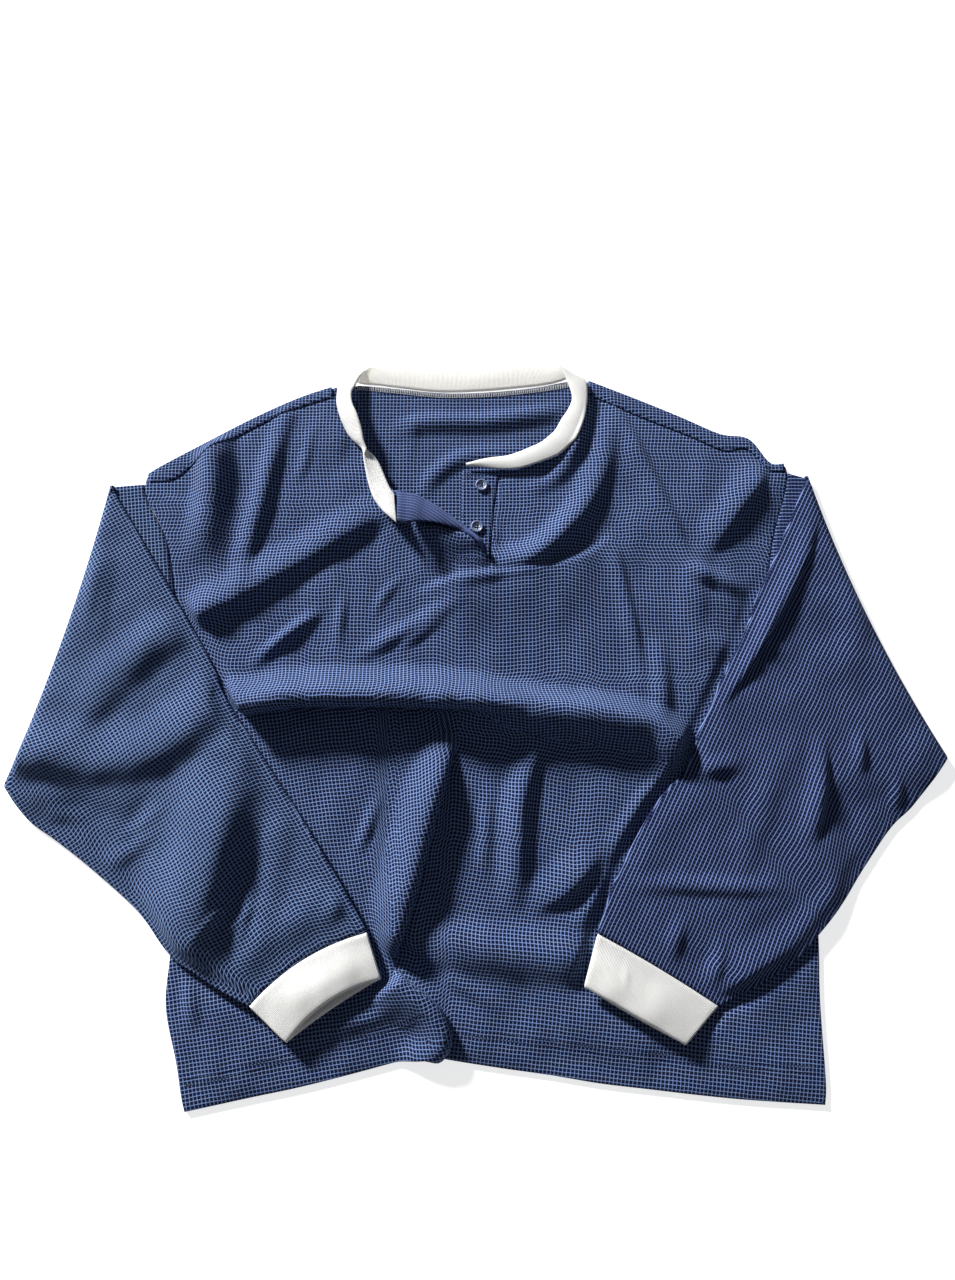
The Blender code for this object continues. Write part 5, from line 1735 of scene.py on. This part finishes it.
# ------------------------------------------------------------------ sewing
@dataclass
class Sewing:
    """Stitches that show: the hem, the neck seam, the placket and the buttons."""

    front: Front
    buttons: tuple[Button, ...]
    navy: bpy.types.Material
    grey: bpy.types.Material
    blue: bpy.types.Material
    hems: tuple[Plan, ...] = (
        ((-262, -336), (-231, -330), (-157, -311), (-112, -299), (-68, -286), (-46, -279)),
        ((-19, -292), (111, -308), (219, -319), (310, -326)))
    neck_back: Plan = ((-122, 333.5), (-98, 331.5), (-80, 329.6), (-38, 325.2), (3, 325.6), (33, 328),
                       (64, 331.6), (94, 336.5))
    under_lines: tuple[Plan, ...] = (
        ((-14.2, 190.0), (-13.2, 239.0)), ((10.0, 158.0), (12.0, 180.0), (15.0, 210.0), (19.0, 237.0)),
        ((-14.0, 238.5), (19.0, 237.5)), ((-14.0, 235.0), (18.5, 234.0)))
    front_lines: tuple[Plan, ...] = (
        ((-39.0, 177.0), (-39.5, 149.0)), ((-35.0, 175.0), (-35.5, 152.0)),
        ((-39.5, 148.5), (-12.0, 146.5), (14.0, 144.5)), ((-35.5, 152.0), (-12.0, 150.0), (8.0, 148.5)),
        ((17.5, 153.0), (19.5, 178.0), (25.0, 234.0)))

    overlock: tuple[float, float] = (-0.2, -5.4)        # Y of its bars' two ends, from the seam line
    overlock_lean: tuple[float, float] = (-0.3, 0.5)    # how far every other bar leans
    overlock_rows: tuple[float, float] = (-0.8, -5.2)   # Y of the rows that hold it down
    hem_rows: tuple[float, float] = (0.0, 5.0)          # Y of the hem's rows
    pair_gap: float = 0.28                              # from the middle of a pair of threads to each

    def on_front(self, line: Plan, step: float = 4.0) -> tuple[np.ndarray, np.ndarray]:
        """Follow a plan line on the front.

        Args:
            line: The line.
            step: Distance between its points.

        Returns:
            Points just above the cloth, and the direction away from it at each.
        """
        plan = Path(rounded(line)).resampled(step)
        spot, east, north = (self.front.surface(plan + nudge)
                             for nudge in ((0.0, 0.0), (0.5, 0.0), (0.0, 0.5)))
        up = np.cross(east - spot, north - spot)
        up /= np.linalg.norm(up, axis=1)[:, None]
        return spot + up * (WALL / 2.0 + 0.1), up

    @staticmethod
    def level(plan: np.ndarray, z: float) -> tuple[np.ndarray, np.ndarray]:
        """Points and upward directions of plan points at one height."""
        return np.column_stack([plan, np.full(len(plan), z)]), np.tile((0.0, 0.0, 1.0), (len(plan), 1))

    def build_hem(self) -> None:
        """Two rows of stitches above the hem."""
        thread = Stitches(self.navy, Slot.WAFFLE, radius=0.26)
        for line in self.hems:
            for offset in self.hem_rows:
                thread.row(*self.on_front(np.asarray(line, float) + (0.0, offset)), pitch=3.2, share=0.66)
        thread.add("hem_stitches")

    def build_neck(self) -> None:
        """Overlocked edge of the neck seam on the inside of the back."""
        thread = Stitches(self.grey, Slot.RIB, radius=0.34)
        line = Path(rounded(self.neck_back)).resampled(step=1.15)
        z = BACK_Z + WALL / 2.0 + 0.15
        near, far = self.overlock
        for index, (x, y) in enumerate(line):
            lean = self.overlock_lean[index % 2]
            thread.bar(np.array([x, y + near, z]), np.array([x + lean, y + far, z]), np.array([0.0, 0.0, 1.0]))
        for offset in self.overlock_rows:
            thread.row(*self.level(line + (0.0, offset), z + 0.25), pitch=2.3, share=0.8)
        thread.add("neck_overlock")

    def build_placket(self) -> None:
        """Edge stitches of the under strip and the box at its foot."""
        thread = Stitches(self.blue, Slot.WAFFLE, radius=0.3)
        rows = [self.level(Path(line).resampled(step=2.0), FRONT_Z + 0.3 + WALL / 2.0)
                for line in self.under_lines]
        for spot, up in rows + [self.on_front(line, step=2.0) for line in self.front_lines]:
            thread.row(spot, up, pitch=2.6, share=0.7)
        thread.add("placket_stitches")

    def build_button_threads(self) -> None:
        """Thread through the holes of both buttons."""
        thread = Stitches(self.navy, Slot.BUTTON, radius=0.3)
        for button in self.buttons:
            holes = button.holes() + button.place
            z = button.base + button.thickness * button.plate + 0.05
            for pair in ((0, 1), (3, 2)):
                for nudge in (-self.pair_gap, self.pair_gap):
                    side = np.array([nudge * math.sin(button.turn), nudge * math.cos(button.turn), z])
                    start, end = (np.array([*holes[index], 0.0]) + side for index in pair)
                    thread.bar(start, end, np.array([0.0, 0.0, 1.0]))
        thread.add("button_threads")


# ------------------------------------------------------------------ studio
@dataclass(frozen=True)
class Studio:
    """Pale floor, one soft low key light from beyond the left shoulder, a faint fill and the camera."""

    floor_size: float = 6.0
    floor_drop: float = 0.0004
    key_power: float = 1500.0
    key_size: float = 1.2
    key_distance: float = 8.0
    key_travel: tuple[float, float, float] = (0.62, -0.78, -0.37)
    fill: float = 0.12
    lens: float = 27.0
    camera_place: tuple[float, float, float] = (0.0, -0.0925, 0.921)
    camera_tilt: float = math.radians(10.0)

    @staticmethod
    def link(name: str, data: bpy.types.ID) -> bpy.types.Object:
        """Put an object in the scene.

        Args:
            name: Its name.
            data: Its mesh, light or camera.

        Returns:
            The object.
        """
        made = bpy.data.objects.new(name, data)
        bpy.context.scene.collection.objects.link(made)
        return made

    def build_floor(self) -> None:
        """Add the floor, just below the cloth."""
        half = self.floor_size / 2.0
        mesh = bpy.data.meshes.new("floor")
        corners = ((-half, -half), (half, -half), (half, half), (-half, half))
        mesh.from_pydata([(x, y, -self.floor_drop) for x, y in corners], [], [(0, 1, 2, 3)])
        mesh.materials.append(FloorFinish().build())
        floor = self.link("floor", mesh)

    def build_light(self) -> None:
        """Add the key light and the fill."""
        data = bpy.data.lights.new("key", 'AREA')
        data.shape = 'DISK'
        data.size = self.key_size
        data.energy = self.key_power
        data.color = (1.0, 0.99, 0.975)
        key = self.link("key", data)
        travel = Vector(self.key_travel).normalized()
        key.location = -travel * self.key_distance
        key.rotation_euler = travel.to_track_quat('-Z', 'Y').to_euler()
        world = bpy.data.worlds.new("fill")
        world.use_nodes = True
        background = world.node_tree.nodes["Background"]
        background.inputs["Color"].default_value = (0.93, 0.96, 1.0, 1.0)
        background.inputs["Strength"].default_value = self.fill
        bpy.context.scene.world = world

    def build_camera(self) -> None:
        """Add the camera, looking down and a little towards the collar."""
        data = bpy.data.cameras.new("camera")
        data.lens = self.lens
        data.sensor_width = 36.0
        data.dof.use_dof = False
        camera = self.link("camera", data)
        camera.location = self.camera_place
        camera.rotation_euler = (self.camera_tilt, 0.0, 0.0)
        bpy.context.scene.camera = camera

    def build(self) -> None:
        """Set up the whole studio."""
        self.build_floor()
        self.build_light()
        self.build_camera()
        bpy.context.scene.view_settings.view_transform = 'Standard'


def main() -> None:
    """Build the top piece by piece, then the studio."""
    logging.basicConfig(level=logging.INFO, format="%(name)s: %(message)s")
    body = WaffleFinish("body_waffle").build()
    inside = WaffleFinish("inside_waffle").build()
    # painted light: the sleeves' copies of the body's waffle have brighter ridges, the right one with its
    # ridges across nearly gone, standing for how the low key light falls on each sleeve; the cloth is the same
    # as the body's
    left_lit_waffle = WaffleFinish("left_sleeve_waffle", (0.225, 0.350, 0.650), wale=0.9).build()
    right_lit_waffle = WaffleFinish("right_sleeve_waffle", (0.250, 0.360, 0.720), course=0.2).build()
    turned = WaffleFinish("turned_waffle", (0.150, 0.200, 0.400), (0.036, 0.052, 0.140), course=0.12,
                          depth=0.5).build()
    rib = RibFinish("rib").build()
    moulded = ButtonFinish("button_blue").build()
    navy = ThreadFinish("navy_thread", (0.030, 0.042, 0.110)).build()
    grey = ThreadFinish("grey_thread", (0.60, 0.62, 0.66)).build()
    blue = ThreadFinish("blue_thread", (0.13, 0.19, 0.40)).build()

    pattern = Pattern()
    ground = Ground(pattern)
    front = Front(pattern, ground, body)
    Back(pattern, front, inside).build()
    front.build()
    Sleeve.left(pattern, ground, left_lit_waffle).build()
    Sleeve.right(pattern, ground, right_lit_waffle).build()
    Cuff(Side.LEFT, pattern, rib, seam_bow=9.0, mouth_bow=9.5, under_bow=2.0, crown=5.0, tilt=2.0,
         wrist_lift=5.0).build()
    crease = Fold("crease", ((136, -226, 0), (134, -240, 0.9), (132, -255, 0)), 6, 5)
    Cuff(Side.RIGHT, pattern, rib, seam_bow=1.5, mouth_bow=0.5, under_bow=-1.5, crown=3.0, tilt=6.0,
         wrist_lift=0.5, folds=(crease,)).build()
    NeckBand(front, rib).build()
    placket = Placket(front, turned, body)
    placket.build_upper()
    placket.build_under()
    buttons = (Button("button_top", moulded, (4.0, 226.0), 0.2),
               Button("button_bottom", moulded, (-0.5, 183.0), -0.1))
    for button in buttons:
        button.build()
    sewing = Sewing(front, buttons, navy, grey, blue)
    sewing.build_hem()
    sewing.build_neck()
    sewing.build_placket()
    sewing.build_button_threads()
    Studio().build()

    LOG.info("sizes written")


if __name__ == "__main__":
    main()
